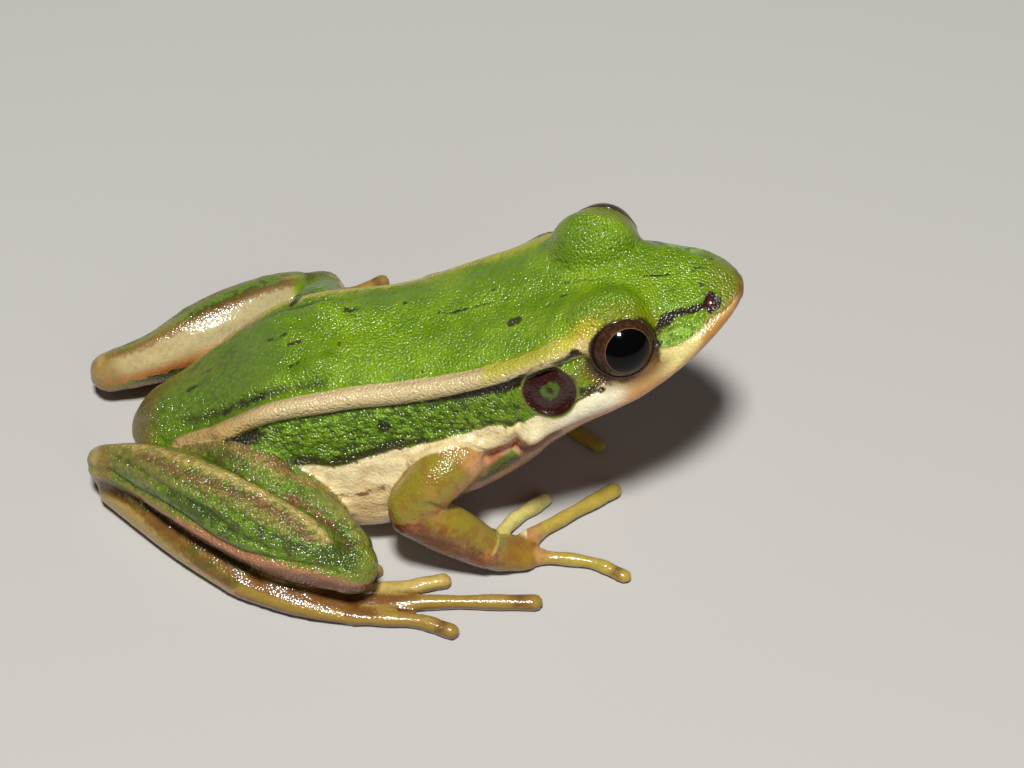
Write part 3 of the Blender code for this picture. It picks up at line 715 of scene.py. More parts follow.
on_flank = ease((below_fold - 1.2) / 0.8) * ease((7.6 - below_fold) / 1.5)
on_flank = on_flank * ease((37 - x) / 2) * (1 - on_limb)
on_belly = ease((below_fold - 6.2) / 1.0) * ease((35 - x) / 3) * (1 - on_limb)
flank_net = net((1.0, 0.6, 0.55), 3)
belly_net = net((4.2, 1.6, 1.25), 7)
turned = np.arctan2(upward, across)
on_tube = np.stack([along * 20, turned * 3.6, limb * 7.0], 1)
leg_lumps = lumps(on_tube, (5.0, 1.1, 1.0), 13)
on_leg = on_limb * on_piece("thigh", "shank")
relief += on_flank * (0.16 * lumps(points, FLANK_LUMPS, 5) - 0.12 * bump(flank_net, 0.1))
relief += on_belly * (0.1 * lumps(points, (4.0, 1.4, 1.0), 9) - 0.08 * bump(belly_net, 0.1))
relief += on_leg * (0.11 * leg_lumps + 0.05 * lumps(points, 0.9, 17))
relief += 0.05 * lumps(points, 2.4, 15) * (1 - on_limb) * ease((1.0 - below_fold) / 1.0)
digit = on_piece("toe", "finger") * on_limb
relief += digit * (0.05 * np.cos(2 * np.pi * along * 2.6) + 0.07 * bump(along - 0.97, 0.06))
alone = ease((np.partition(every_off, 1, axis=0)[1] - 0.2) / 0.4)
snap = digit * alone * ease((0.45 - np.abs(off_limb)) / 0.2)
toes = np.sort(every_off[[NAMES.index(name) for name in DIGITS]], axis=0)[:2]
toe_groove = bump(toes[1] - toes[0], 0.3) * (toes[1] < 1.2)
points = points - outward * (off_limb * snap)[:, None]


def normals():
    """The direction in which each skin point faces."""
    skin_mesh.vertices.foreach_set("co", points.astype(np.float32).ravel())
    skin_mesh.update()
    return read(skin_mesh, "vertex_normals", "vector", 3).astype(float)


points = points + normals() * relief[:, None]

# %% [markdown]
# An eye is a ball that the lids close over. Round the direction in which the eye looks, the edge of
# the lids is an oval, given by two angles. Skin outside the oval keeps its place but comes down to
# the ball at the edge, and skin inside it is tucked away just under the ball's surface. A thin dark
# bead then runs along the edge.

# %% Eyes
EYES = {
    "right": {"side": -1, "centre": (45.65, -5.6, 24.2), "aim": (0.23, -0.88, 0.41), "open": (60, 68),
              "gaze": (0.31, -0.84, 0.45)},
    "left": {"side": 1, "centre": (44.2, 5.85, 25.6), "aim": (0.2, 0.93, 0.2), "open": (62, 66),
             "gaze": (0.31, 0.86, 0.38)},
}
BALL_RADIUS = 3.15
LID_LIFT, TUCK, TUCK_OVER, LID_BLEND, LID_REACH = 0.1, 0.45, 0.32, 2.1, 1.3
BEAD_RADIUS = 0.09


def eye_axes(aim):
    """Three directions: along the aim, as near to up as can be across it, and sideways."""
    forward = np.array(aim) / np.linalg.norm(aim)
    up = np.array((0, 0, 1.0)) - forward[2] * forward
    up /= np.linalg.norm(up)
    return forward, up, np.cross(forward, up)


def lid_edge(eye, around):
    """The angle from the aim to the lids' edge in each direction around it: an oval."""
    tall, wide = np.radians(eye["open"])
    return 1 / np.hypot(np.cos(around) / tall, np.sin(around) / wide)


def from_lid(eye, places):
    """Distance from the eye's middle, and distance outside the lids' edge along the ball."""
    forward, up, sideways = eye_axes(eye["aim"])
    offset = places - np.array(eye["centre"])
    reach = np.linalg.norm(offset, axis=1)
    turn = np.arccos(np.clip(offset @ forward / reach, -1, 1))
    around = np.arctan2(offset @ sideways, offset @ up)
    return reach, (turn - lid_edge(eye, around)) * BALL_RADIUS

# %% Close the lids over the balls
from_edge = np.full(len(points), 9.0)
for eye in EYES.values():
    centre = np.array(eye["centre"])
    reach, outside = from_lid(eye, points)
    near = (reach < 6.5) & (outside < LID_BLEND) & (points[:, 1] * eye["side"] > 0)
    tucked = BALL_RADIUS + LID_LIFT - (LID_LIFT + TUCK) * ease(-outside / TUCK_OVER)
    share = np.maximum(ease(outside / LID_BLEND), ease((reach - BALL_RADIUS - LID_REACH) / 1.2))
    lid = (BALL_RADIUS + LID_LIFT) * (1 - share) + reach * share
    target = np.where(outside < 0, tucked, lid)
    moved = centre + (points - centre) * (target / reach)[:, None]
    points = np.where(near[:, None], moved, points)
    above_ball = (np.where(near, target, reach) - BALL_RADIUS - LID_LIFT).clip(0)
    from_edge = np.where((reach < 9) & (points[:, 1] * eye["side"] > 0), outside + above_ball, from_edge)
points_done = np.column_stack([points[:, :2], points[:, 2].clip(0.02)])
print("skin points inside the eye openings", int((from_edge < 0).sum()))

# %% The balls and the beads along the lids
def eyeball(eye, rings=90, sides=96):
    """A ball ringed about its gaze, with each point's angle from the gaze in degrees."""
    forward, up, sideways = eye_axes(eye["gaze"])
    tilt = (np.arange(rings) + 0.5) * np.pi / rings
    turn = np.arange(sides) * 2 * np.pi / sides
    directions = np.cos(tilt)[:, None, None] * forward + np.sin(tilt)[:, None, None] * (
        np.cos(turn)[:, None] * up - np.sin(turn)[:, None] * sideways
    )
    places, faces = closed_tube(np.array(eye["centre"]) + BALL_RADIUS * directions)
    angle = np.concatenate([np.repeat(np.degrees(tilt), sides), [0, 180]])
    return places, faces, angle


def bead(eye, count=160, sides=12):
    """A thin ring along the lids' edge."""
    forward, up, sideways = eye_axes(eye["aim"])
    around = np.arange(count) * 2 * np.pi / count
    turn = lid_edge(eye, around)[:, None]
    out = np.cos(turn) * forward + np.sin(turn) * (
        np.cos(around)[:, None] * up + np.sin(around)[:, None] * sideways
    )
    middle = np.array(eye["centre"]) + (BALL_RADIUS + 0.03) * out
    heading = np.roll(middle, -1, 0) - np.roll(middle, 1, 0)
    heading /= np.linalg.norm(heading, axis=1)[:, None]
    flat = np.cross(heading, out)
    angle = np.arange(sides) * 2 * np.pi / sides
    ring = middle[:, None] + BEAD_RADIUS * (
        np.cos(angle)[:, None] * out[:, None] + np.sin(angle)[:, None] * flat[:, None]
    )
    row, column = np.divmod(np.arange(count * sides), sides)
    after, beside = (row + 1) % count * sides, (column + 1) % sides
    faces = np.stack([row * sides + column, row * sides + beside, after + beside, after + column], 1)
    return ring.reshape(-1, 3), faces.tolist()


# %% [markdown]
# The colours are painted as layers over a green ground. Each layer has a colour and, for each skin
# point, a signed distance in millimetres: positive inside the patch and negative outside. The paint
# then only has to ask where the distance passes zero, so an edge can be as crisp or as soft as on the
# animal, and a little noise added to the distance makes it ragged. The cream of the belly begins
# PALE_BORDER millimetres below the fold. The cream strap along the fold reaches STRAP_HALF to either
# side of STRAP_MIDDLE.

# %% Patches of colour
LAYERS = []


def layer(name, colour, distance, soft=0.25, ragged=0.0, cover=1.0):
    """One layer of paint: colour as 0 to 255, softness and raggedness of its edge in millimetres."""
    LAYERS.append((name, colour, np.clip(distance, -4, 4), soft, ragged, cover))


def spread(values, rounds):
    """Values averaged with their neighbours, in rounds."""
    pairs = np.concatenate([edges, edges[:, ::-1]])
    count = np.bincount(pairs[:, 0], minlength=len(values))
    for _ in range(rounds):
        values = 0.5 * values + 0.5 * np.bincount(pairs[:, 0], values[pairs[:, 1]], len(values)) / count
    return values


def region(*parts):
    """Positive on the limb pieces whose names start like this, softly negative elsewhere."""
    return spread(np.where(on_piece(*parts) & (off_limb < off_body), 1.0, -1.0), 8)


def between(values, low, high):
    """Signed distance inside a range."""
    return np.minimum(values - low, high - values)


def inside(*distances):
    """Signed distance inside all of these patches at once: the least of their distances."""
    return np.minimum.reduce(distances)


def stripe(values, at, half, low, high=99):
    """Signed distance inside a band: the values within a half width of one number, x from low to high."""
    return inside(half - np.abs(values - at), between(x, low, high))

# %% Where the cream begins, and the strap along the fold
PALE_BORDER = (
    (0, 1.5), (4, 3), (8, 5), (14, 6.2), (17.4, 6.1), (19.3, 6.6), (20.6, 6.7), (22.1, 6.3), (23.6, 6.0),
    (25.1, 5.6), (26.8, 5.6), (28.6, 5.6), (31.4, 5.5), (33.2, 5.3), (34.8, 5.3), (36.2, 6.0),
    (37.2, 6.0), (38.3, 5.6), (39.4, 5.8), (40.5, 5.8), (41.9, 5.4), (42.6, 5.2), (44, 5.2), (45.1, 5.7),
    (46.7, 6.6), (47.9, 6.0), (49, 4.9), (49.8, 4.2), (51.1, 3.4), (52.5, 2.8), (54.3, 1.7), (55.4, 1.1),
    (56.1, 0.4), (56.9, -0.3),
)
FAR_LIP_DROP = 1.3
STRAP_HALF = (
    (3.4, -0.3), (4.2, 0.4), (5, 0.66), (9, 0.86), (14, 1.04), (20, 1.18), (30, 1.2), (38, 1.12), (43, 1.15),
)
FAR_STRAP_HALF = 0.6
STRAP_MIDDLE = ((3.5, 0.7), (5.5, 0.4), (8, 0.12), (12, 0.02), (14, 0.02))
degrees = np.degrees(np.arctan2(upward, across))
degrees = np.where(y > 0, (180 - degrees + 180) % 360 - 180, degrees)
trunk = spread(np.where(off_body <= off_limb + 0.3, 1.0, -1.0), 4) * 1.5
border = curve(PALE_BORDER, x) + FAR_LIP_DROP * (y > 0) * ease((x - 47.5) / 2)
pale = below_fold - border
from_strap = np.abs(below_fold - curve(STRAP_MIDDLE, x))
in_strap = np.where(y > 0, FAR_STRAP_HALF, curve(STRAP_HALF, x)) - from_strap
mottle, speckle = lumps(points, 1.7, 21), lumps(points, 0.8, 23)
print("the cream begins from", border.min().round(1), "to", border.max().round(1), "mm below the fold")

# %% Colours of the back and flank
layer("snout", (116, 116, 24), (x - 54.0) * 0.6, 1.4, 0.4, 0.8)
layer("rear", (84, 116, 4), (14.0 - x) * 0.4, 2.0, 0.4, 0.6)
layer("lid", (120, 128, 6), 2.2 - from_edge, 1.0, 0.3, 0.85)
layer("flank", (96, 132, 6), inside(below_fold - 1.2, 37.0 - x, trunk), 0.5, 0.5)
# painted highlight: the raised flank lumps, the same lumps as in the relief, are painted lighter green
layer("flank lump highlight", (126, 162, 14),
    inside(below_fold - 1.6, 37.0 - x, trunk, lumps(points, FLANK_LUMPS, 5) * 0.6), 0.2, 0.3, 0.6)
layer("flank dusk", (44, 44, 10),
    inside(1.0 - np.hypot(below_fold - 2.4, (x - 10.5) * 0.4), trunk), 0.7, 0.8, 0.85)
layer("rump", (116, 90, 28), (2.0 - x) * 0.7, 0.8, 0.4, 0.85)

# %% Colours of the belly, lips and throat
layer("belly", (246, 226, 174), inside(pale, trunk), 0.12, 0.25)
# painted shade: the grooves of the belly's wrinkles are painted darker tan
layer("belly crease shade", (206, 158, 92),
    inside(pale - 0.6, 35.0 - x, trunk, (0.07 - belly_net) * 3.0), 0.16, 0.15, 0.4)
layer("belly low", (252, 212, 146), inside(below_fold - 10.5, 35.0 - x, trunk), 1.6, 0.6, 0.6)
layer("belly edge", (48, 32, 10),
    inside(stripe(pale, -0.4, 0.14 + 0.36 * ease((30 - x) / 5), 12, 37), trunk), 0.2, 0.4, 0.9)
layer("belly mark", (112, 74, 28), 0.2 - both([(20.4, 1.88), (22.4, 1.87), (24.2, 1.83)]), 0.2, 0.35, 0.9)
layer("ridge edge", (196, 150, 84), stripe(pale, 0.9, 0.15, 27, 36), 0.2, 0.3, 0.6)
layer("lip back", (250, 240, 206), inside(pale - 0.2, between(x, 40.2, 46.6)), 0.4, 0.05, 0.9)
layer("gland", (240, 226, 178), inside(pale - 0.2, between(x, 36.8, 40.6)), 0.4, 0.05, 0.9)
layer("lip front", (184, 142, 64), inside((x - 51.0) * 0.5, pale), 1.0, 0.1)
layer("lip middle", (236, 218, 140),
    inside(between(x, 46.6, 53.0), pale - 0.1, mouth_gap - 0.5), 0.5, 0.05, 0.95)
layer("lip line", (96, 62, 22), stripe(pale, -0.05, 0.1, 48.8), 0.1, 0.08, 0.8)
layer("lip low", (190, 112, 50),
    inside(curve(((40, 0.6), (46, 1.3), (52, 1.2)), x) - mouth_gap, x - 38.5, pale), 0.7, 0.05, 0.85)
layer("tip", (112, 72, 34), inside(x - 56.2, below_fold + 0.6), 0.4, 0.15, 0.9)
layer("jaw", (206, 138, 78), inside(-mouth_gap - 0.1, x - 38), 0.2, 0.08)
# the throat's own warm skin, painted darker than its pale colour as shade under the head
layer("throat", (184, 128, 86), inside(-mouth_gap - 0.8, x - 36), 0.7, 0.3)
layer("chest", (196, 122, 78), inside(below_fold - 7.6, between(x, 31, 37.6), trunk), 0.4, 0.2)
# painted shade on the chest under the head
layer("chest shade", (150, 94, 58), inside(below_fold - 8.2, between(x, 36.6, 41), trunk), 0.6, 0.3)
layer("chest pale", (232, 200, 156), 0.5 - both([(36.4, 2.1), (35.9, 2.14)]), 0.4, 0.2, 0.9)
layer("green chest", (92, 118, 20), 0.8 - both([(36.1, 2.2), (35.2, 2.26), (34.5, 2.3)]), 0.3, 0.3)
layer("dark chest", (40, 30, 14),
    0.55 - both([(36.6, 2.3), (35.6, 2.34), (34.4, 2.38), (33.4, 2.4)]), 0.35, 0.3)

# %% [markdown]
# The legs are olive green with dark and brown lumps, tan rims and pink undersides. A patch on a limb
# is bounded by that limb's region and by its own address: the share along it and the degrees round
# it. The frog's right has negative y, so -y keeps a patch to the right side.

# %% Colours of the legs
thigh, shank, tarsus, leg = region("thigh"), region("shank"), region("tarsus"), region("thigh", "shank")
outer = np.where(degrees < -60, degrees + 360, degrees)
rim_from = curve(((0, 148), (0.22, 134), (0.42, 145), (0.61, 155), (0.83, 168), (1.0, 166)), along)
layer("leg", (104, 134, 22), leg, 0.4, 0.3)
layer("leg olive", (140, 122, 58), inside(leg - 0.2, leg_lumps * 0.9 - 0.2), 0.15, 0.8, 0.6)
layer("leg dark", (46, 54, 12), inside(leg, -0.2 - leg_lumps * 0.9, (knees - 2.6) * 0.5), 0.12, 0.8, 0.7)
layer("thigh olive", (140, 146, 62), inside(thigh - 0.6, mottle * 0.7 + 0.1), 0.3, 0.8, 0.5)
layer("thigh top", (72, 72, 26),
    inside(thigh - 0.2, (0.42 - along) * 8, upward - 0.55, speckle + 0.2), 0.4, 0.4, 0.7)
thigh_marks = np.minimum.reduce([limbs("thigh", line) for line in (
    ((0.3, 92), (0.4, 86), (0.48, 80), (0.56, 72)), ((0.66, 103), (0.72, 101), (0.78, 99)),
    ((0.8, 94), (0.86, 90), (0.92, 88)))])
layer("thigh brown", (124, 72, 42), inside(thigh, 0.42 - thigh_marks), 0.25, 0.6, 0.85)
layer("knee low", (184, 126, 66), inside(np.maximum(inside(thigh, (along - 0.85) * 6),
    inside(shank, (0.08 - along) * 6)), -0.3 - upward), 0.25, 0.2)
layer("tarsus", (136, 108, 42), tarsus, 0.4, 0.3)
layer("tarsus green", (78, 82, 26),
    inside(tarsus + 0.2, speckle * 0.9 + 0.1, (rim_from - outer) * 0.04), 0.35, 0.9, 0.75)
layer("tarsus brown", (118, 72, 36),
    inside(tarsus + 0.2, leg_lumps * 0.9, (rim_from - outer) * 0.04), 0.3, 0.9, 0.7)
layer("tarsus edge", (178, 148, 78), inside(tarsus + 0.3, (outer - rim_from) * 0.04), 0.4, 0.5, 0.85)
feet = region("foot", "toe")
layer("feet", (160, 130, 56), feet, 0.8, 0.3)
# painted shade between neighbouring toes
layer("toe groove shade", (84, 44, 18), toe_groove * 1.4 - 0.7, 0.4, 0.15, 0.9)
near_heel = np.where(limb == NAMES.index("foot_right"), 1, (0.3 - along) * 6)
outer_foot = inside(region("foot", "toe_4", "toe_5"), near_heel, (128 - outer) * 0.04)
layer("foot brown", (112, 68, 28), outer_foot, 0.5, 0.4, 0.85)
layer("toe 3", (196, 170, 92), region("toe_3") - 0.1, 0.6, 0.2, 0.8)
# painted shade on the lower sides of the feet
layer("foot underside shade", (104, 64, 24), inside(feet, 0.3 - upward) - 0.15, 0.4, 0.25, 0.85)

# %% [markdown]
# The arms shade from green above to orange brown below, and the fingers are the yellowest part. The
# underside of every right limb is warm tan, where light comes through the thin skin.

# %% Colours of the arms
arm = region("upper", "forearm")
layer("arm", (190, 132, 60), arm, 0.5, 0.3)
layer("arm green", (126, 132, 30), inside(arm - 0.3, mottle * 0.8 + 0.25, upward - 0.05), 0.5, 0.6, 0.75)
layer("arm brown", (140, 70, 34), inside(arm - 0.2, speckle * 0.7 - 0.2), 0.15, 0.9, 0.4)
forearm = region("forearm")
layer("arm rust", (136, 62, 26), inside(forearm, 0.5 - upward), 0.5, 0.4, 0.85)
layer("arm dusk", (92, 42, 24),
    inside(forearm, 0.4 - upward, mottle * 0.6 + 0.25, 0.7 - along), 0.4, 0.4, 0.75)
down_arm = np.where(off("upper_arm", "right") < off("forearm", "right"), along, 1)
at_root = inside(region("upper") + 0.4, (0.1 - down_arm) * 5, 0.75 - upward, -y)
layer("arm root", (208, 150, 100), at_root, 0.5, 0.4, 0.9)
hand = region("hand")
layer("hand", (156, 118, 44), hand, 0.9, 0.4)
layer("hand dusk", (130, 80, 34), inside(hand - 0.2, speckle * 0.8 - 0.1), 0.3, 0.8, 0.45)
layer("fingers", (178, 156, 66), inside(region("finger"), (along - 0.12) * 4), 0.7, 0.4)
layer("finger 2", (204, 192, 112), region("finger_2") - 0.1, 0.5, 0.2)
layer("under", (206, 146, 78),
    inside(-0.45 - upward, region("thigh", "shank", "upper", "forearm") + 0.2, y - 0.5), 0.3, 0.3)

# %% [markdown]
# The shank's outer face ends below in a pink band whose top runs askew, and above in a tan rim with a
# brown shade along it. The lower part of the pink band is darkened as painted shade, and so are the
# creases and the gaps where thigh, shank and tarsus meet. The other side of the left shank is seen
# instead, which is cream.

# %% Colours of the shanks and knees
pink_top = curve(((0, 24), (0.14, 22), (0.31, 10), (0.5, 5), (0.7, 0), (1, -16)), along)
layer("shank pink", (170, 116, 78),
    inside((pink_top - degrees) * 0.06, (degrees + 100) * 0.06, shank, -y), 0.3, 0.4)
# painted shade: the lower part of the shank's pink band darkens towards the underside
layer("shank red shade", (120, 64, 34),
    inside((pink_top - 22 - degrees) * 0.06, (degrees + 120) * 0.06, shank, -y), 0.5, 0.2)
from_shade = limbs("shank", (
    (0.8, 80), (0.7, 76), (0.6, 74), (0.5, 76), (0.42, 82), (0.32, 84), (0.22, 82), (0.14, 70)))
layer("shank shade", (120, 76, 48), inside(0.45 - from_shade, shank, -y), 0.3, 0.7, 0.7)
lower_leg = region("shank", "tarsus") + 0.6
from_rim = limbs("shank", ((1.0, 101), (0.9, 99), *SHANK_RIM, (0.1, 80)))
layer("shank rim", (204, 174, 104), inside(0.52 - from_rim, lower_leg, -y), 0.42, 0.35, 0.9)
layer("inner shank", (192, 176, 126),
    inside(between(degrees, 99, 176) * 0.06, (along - 0.08) * 8, shank, y), 0.3, 0.35)
layer("inner shank low", (204, 130, 66), inside(between(degrees, 156, 200) * 0.06, shank, y), 0.8, 0.2)
layer("inner shank end", (192, 158, 72),
    inside((0.17 - along) * 8, between(degrees, 80, 175) * 0.06, shank, y), 0.5, 0.3)
layer("inner shank edge", (112, 70, 40), inside(0.5 - np.abs(degrees - 99) * 0.06, shank, y), 0.35, 0.7, 0.8)
layer("heel", (150, 116, 48), inside(shank, (along - 0.93) * 12), 0.5, 0.3, 0.8)
layer("knee end", (134, 142, 48), inside(3.0 - knees, shank, degrees - pink_top, -y), 0.9, 0.5, 0.7)
from_heel = limbs("shank", ((1.0, 100), (1.0, 50), (1.0, 10), (0.97, -20)))
layer("heel rim", (190, 160, 96), inside(0.55 - from_heel, lower_leg), 0.3, 0.2, 0.8)
from_rim = limbs("thigh", (
    (0.1, 121), (0.24, 100), (0.4, 95), (0.5, 86), (0.6, 76), (0.68, 62), (0.76, 42), (0.86, 25), (1.0, 12)))
layer("thigh rim", (150, 120, 62), inside(0.42 - from_rim, thigh + 0.8), 0.4, 0.3, 0.85)
from_hip = distance_to([smooth_path(HIP_LEFT)[:, :3] + (0, 0.3, 1.5)])
layer("hip", (104, 136, 16), inside(2.5 - from_hip, y - 4), 0.6, 0.3)
from_crease = np.minimum.reduce([
    limbs(part, line) for part, height, width, line in LIMB_RELIEF
    if part in ("shank", "thigh") and height < 0])
# painted shade in the creases of the thigh and shank
layer("creases", (44, 44, 12), inside(0.12 - from_crease, np.maximum(shank, thigh) - 0.2), 0.16, 0.2, 0.8)
# painted shade in the gap where thigh and shank meet
layer("thigh shank shadow", (80, 52, 26), inside(0.16 - gap("thigh", "shank"), knees - 3.6), 0.2, 0.12, 0.75)
# painted shadow in the gap between shank and tarsus
layer("shank tarsus shadow", (52, 26, 12), inside(0.7 - gap("shank", "tarsus"), knees - 2.6), 0.4, 0.2, 0.9)
layer("wrist", (214, 188, 112),
    0.12 - limbs("forearm", ((0.985, 30), (0.99, 60), (0.99, 100), (0.985, 140))), 0.15, 0.1)
layer("toe marks", (104, 64, 30), inside(between(along, 0.86, 0.965) * 10, upward - 0.1,
    region("toe_4", "toe_5", "finger_4")), 0.5, 0.3, 0.8)

# %% [markdown]
# The cream folds and the head's marks are painted last, because they cross all the others. Under the
# fold runs a dark line of painted shadow from its overhang, and the fold on the far side is painted
# olive as painted shade. From the nostril to the eye runs a dark line, and the ear drum is a dark disc
# in a green rim.

# %% Colours of the folds
under_ridge = distance_to([
    smooth_path(SHOULDER_RIDGE[3:]) * (1, side, 1) - (0, side * -0.5, 0.72) for side in (1, -1)])
layer("under ridge", (212, 118, 56), inside(0.3 - under_ridge, 36.0 - x), 0.2, 0.1, 0.85)
layer("shoulder ridge", (232, 210, 152), inside(0.62 - ridge_line, 36.6 - x), 0.12, 0.06)
layer("fold", (212, 190, 140), inside(in_strap, 42.8 - x, trunk + 0.6), 0.12, 0.06)
layer("fold end", (188, 150, 84), inside((in_strap + 0.1) * 8, (12.0 - x) * 0.6, trunk + 0.6), 2.0, 0.1, 0.85)
layer("fold top", (176, 140, 96), stripe(below_fold, -0.85, 0.2, 10, 34), 0.2, 0.3, 0.6)
layer("fold front", (180, 176, 44), stripe(below_fold, -0.5, 0.75, 33.5, 43), 0.6, 0.2, 0.9)
# painted shade: the fold on the far side is olive instead of cream, as if turned from the light
layer("far fold in shade", (178, 176, 40), inside(in_strap + 0.1, y, between(x, 12, 44)), 0.25, 0.2, 0.9)
line_half = curve(((8, 0.28), (14, 0.17), (22, 0.15), (28, 0.22), (33, 0.45), (37, 0.5), (40, 0.3)), x)
# painted shadow under the overhang of the fold
layer("shadow under fold", (36, 24, 8), inside(stripe(below_fold, 1.42, line_half, 7, 40.5), trunk + 1), 0.12, 0.1)
# painted shadow under the rear end of the fold
layer("shadow under fold end", (34, 24, 8),
    inside(0.8 - np.hypot(below_fold - 1.9, (x - 10.6) * 0.35), trunk), 0.25, 0.3)
layer("over fold", (58, 66, 12), stripe(below_fold, -1.95, 0.34, 5, 19), 0.35, 0.4, 0.75)
layer("over fold marks", (32, 30, 10),
    inside(stripe(below_fold, -1.8, 0.26, 7.5, 13.5), speckle * 0.5 + 0.05), 0.15, 0.4, 0.9)

# %% Colours of the head
layer("behind lid", (192, 176, 40), 1.0 - both([(42.9, 0.76), (42.5, 0.86), (41.8, 0.92)]), 0.9, 0.3, 0.85)
layer("lid corner", (216, 190, 128), 0.7 - both([(42.3, 1.02), (43.0, 1.12)]), 0.5, 0.2, 0.9)
layer("ear stripe", (36, 24, 8), 0.42 - both([(41.6, 1.08), (40.6, 1.08), (39.4, 1.07), (38.2, 1.1),
    (36.8, 1.16), (35.4, 1.21)]), 0.12, 0.12)
layer("ear stripe down", (36, 24, 8), 0.34 - both([(41.5, 1.07), (42.1, 1.14), (42.6, 1.28), (43.1, 1.46),
    (43.5, 1.62), (44.1, 1.74)]), 0.15, 0.2)
layer("ear mottle", (34, 30, 8), 0.34 - both([(42.3, 1.6), (43.2, 1.68), (44.1, 1.74)]), 0.2, 0.5, 0.95)
layer("ear rim", (112, 120, 40), EAR_RADIUS + 0.16 - ear, 0.15, 0.08)
layer("ear", (48, 14, 6), EAR_RADIUS - 0.03 - ear, 0.12, 0.05)
layer("ear middle", (74, 98, 20), 0.26 - np.abs(ear - 0.58), 0.15, 0.28)
loreal = inside(0.9 - both([(52.4, 1.6), (51.2, 1.56), (50.0, 1.55)]), -0.1 - pale)
# the skin's own green in front of the eye, partly lightened as a painted sheen
layer("loreal", (142, 184, 56), loreal, 0.6, 0.3)
layer("loreal net", (48, 80, 12), inside(loreal, lumps(points, 0.5, 27) * 0.6 - 0.06), 0.1, 0.4, 0.7)
front_line = 0.34 - both([(53.4, 1.14), (52.3, 1.16), (51.2, 1.14), (50.1, 1.12)])
rear_line = 0.56 - both([(50.3, 1.12), (49.7, 1.16), (49.2, 1.3), (49.1, 1.5)])
layer("canthus", (38, 28, 8), np.maximum(front_line, rear_line), 0.15, 0.3)
layer("canthus branch", (40, 30, 10), 0.13 - both([(51.4, 1.05), (50.5, 1.07)]), 0.12, 0.15)
layer("before eye", (30, 30, 8), inside(0.62 - from_edge, x - 47.4, z - 22.6), 0.3, 0.35, 0.95)
layer("nostril patch", (46, 20, 12), np.where(y > 0, 0.45, 0.92) - both([(53.85, 1.12)]), 0.15, 0.45)
layer("nostril", (112, 40, 22), 0.28 - nostril, 0.2, 0.05)
# painted shade in the crevice round the lids' edge
layer("shade round eye", (64, 48, 16), 0.2 - from_edge, 0.2, 0.12)
# painted shadow of the eye on the lip below it
layer("eye shadow on lip", (104, 62, 24), inside(1.5 - from_edge, 23.2 - z), 0.9, 0.1, 0.9)
layer("behind eye", (48, 32, 12), inside(1.0 - from_edge, 45.0 - x, 24.4 - z), 0.35, 0.4, 0.9)
layer("lip line back", (66, 38, 14), stripe(pale, -0.08, 0.14, 40.6, 46), 0.12, 0.2, 0.9)

# %% [markdown]
# Small dark spots and scratches are scattered over the back. A spot is a place x, a mark s, a side and
# a radius; a scratch is a side, half its width and a short line. On the back the mesh is coarser than
# on the head, so the marks there are drawn a little larger.

# %% Spots and scratches
FINE_FROM, SPOT_EXTRA, SCRATCH_EXTRA = 38, 0.1, 0.14
SPOTS = (
    (36.0, 0.33, -1, 0.42), (36.5, 0.33, -1, 0.4), (41.4, 0.62, -1, 0.26), (33.0, 0.33, 1, 0.12),
    (34.3, 0.28, 1, 0.16), (45.9, 0.18, -1, 0.14), (46.2, 0.23, -1, 0.12), (52.7, 0.0, -1, 0.16),
    (53.0, 0.4, -1, 0.26), (20.1, 0.2, -1, 0.22), (24.4, 1.3, -1, 0.52), (8.5, 0.5, 1, 0.1),
    (26.0, 0.45, 1, 0.12), (23.5, 0.4, 1, 0.1), (28.0, 0.75, -1, 0.1), (12.2, 0.55, 1, 0.12),
    (31.0, 1.3, -1, 0.2), (36.6, 1.45, -1, 0.24),
)
SCRATCHES = (
    (1, 0.14, ((40.8, 0.25), (42.1, 0.2), (43.9, 0.2))),
    (1, 0.14, ((47.9, 0.0), (49.0, 0.0), (50.0, 0.02))),
    (1, 0.07, ((50.0, 0.02), (51.2, 0.06))), (1, 0.13, ((52.2, 0.18), (52.6, 0.35), (53.3, 0.4))),
    (-1, 0.09, ((50.0, 0.43), (50.7, 0.48))), (-1, 0.05, ((38.0, 0.38), (38.6, 0.36), (39.1, 0.34))),
    (-1, 0.04, ((44.0, 0.06), (46.0, 0.2), (47.8, 0.2))),
    (1, 0.04, ((39.9, 0.1), (41.8, 0.03), (43.9, 0.0))),
    (1, 0.04, ((29.3, 0.15), (30.1, 0.12), (32.1, 0.08), (34.0, 0.08))),
    (-1, 0.04, ((40.3, 0.15), (42.1, 0.18), (43.9, 0.38))), (1, 0.2, ((20.2, 0.44), (20.9, 0.37))),
    (1, 0.14, ((20.9, 0.37), (21.6, 0.43))), (1, 0.2, ((15.7, 0.98), (15.4, 0.93), (14.9, 0.85))),
    (1, 0.12, ((14.4, 0.6), (14.0, 0.53))), (-1, 0.08, ((15.4, 0.42), (16.2, 0.37))),
    (-1, 0.07, ((15.3, 0.03), (16.4, 0.03))), (-1, 0.1, ((5.2, 0.05), (6.0, 0.03))),
    (1, 0.08, ((6.4, 0.26), (7.4, 0.2))), (1, 0.1, ((12.8, 0.2), (14.0, 0.14), (14.8, 0.16))),
)
spots = np.full(len(points), -4.0)
for at, mark, side, radius in SPOTS:
    radius = radius + SPOT_EXTRA * (at < FINE_FROM)
    spots = np.maximum(spots, radius - distance_to([on_body([(at, mark)], side)]))
for side, radius, line in SCRATCHES:
    radius = radius + SCRATCH_EXTRA * (line[0][0] < FINE_FROM)
    spots = np.maximum(spots, radius - distance_to([on_body(line, side)]))
layer("spots", (34, 32, 12), spots, 0.1, 0.2, 0.9)
print(len(LAYERS), "layers of paint")

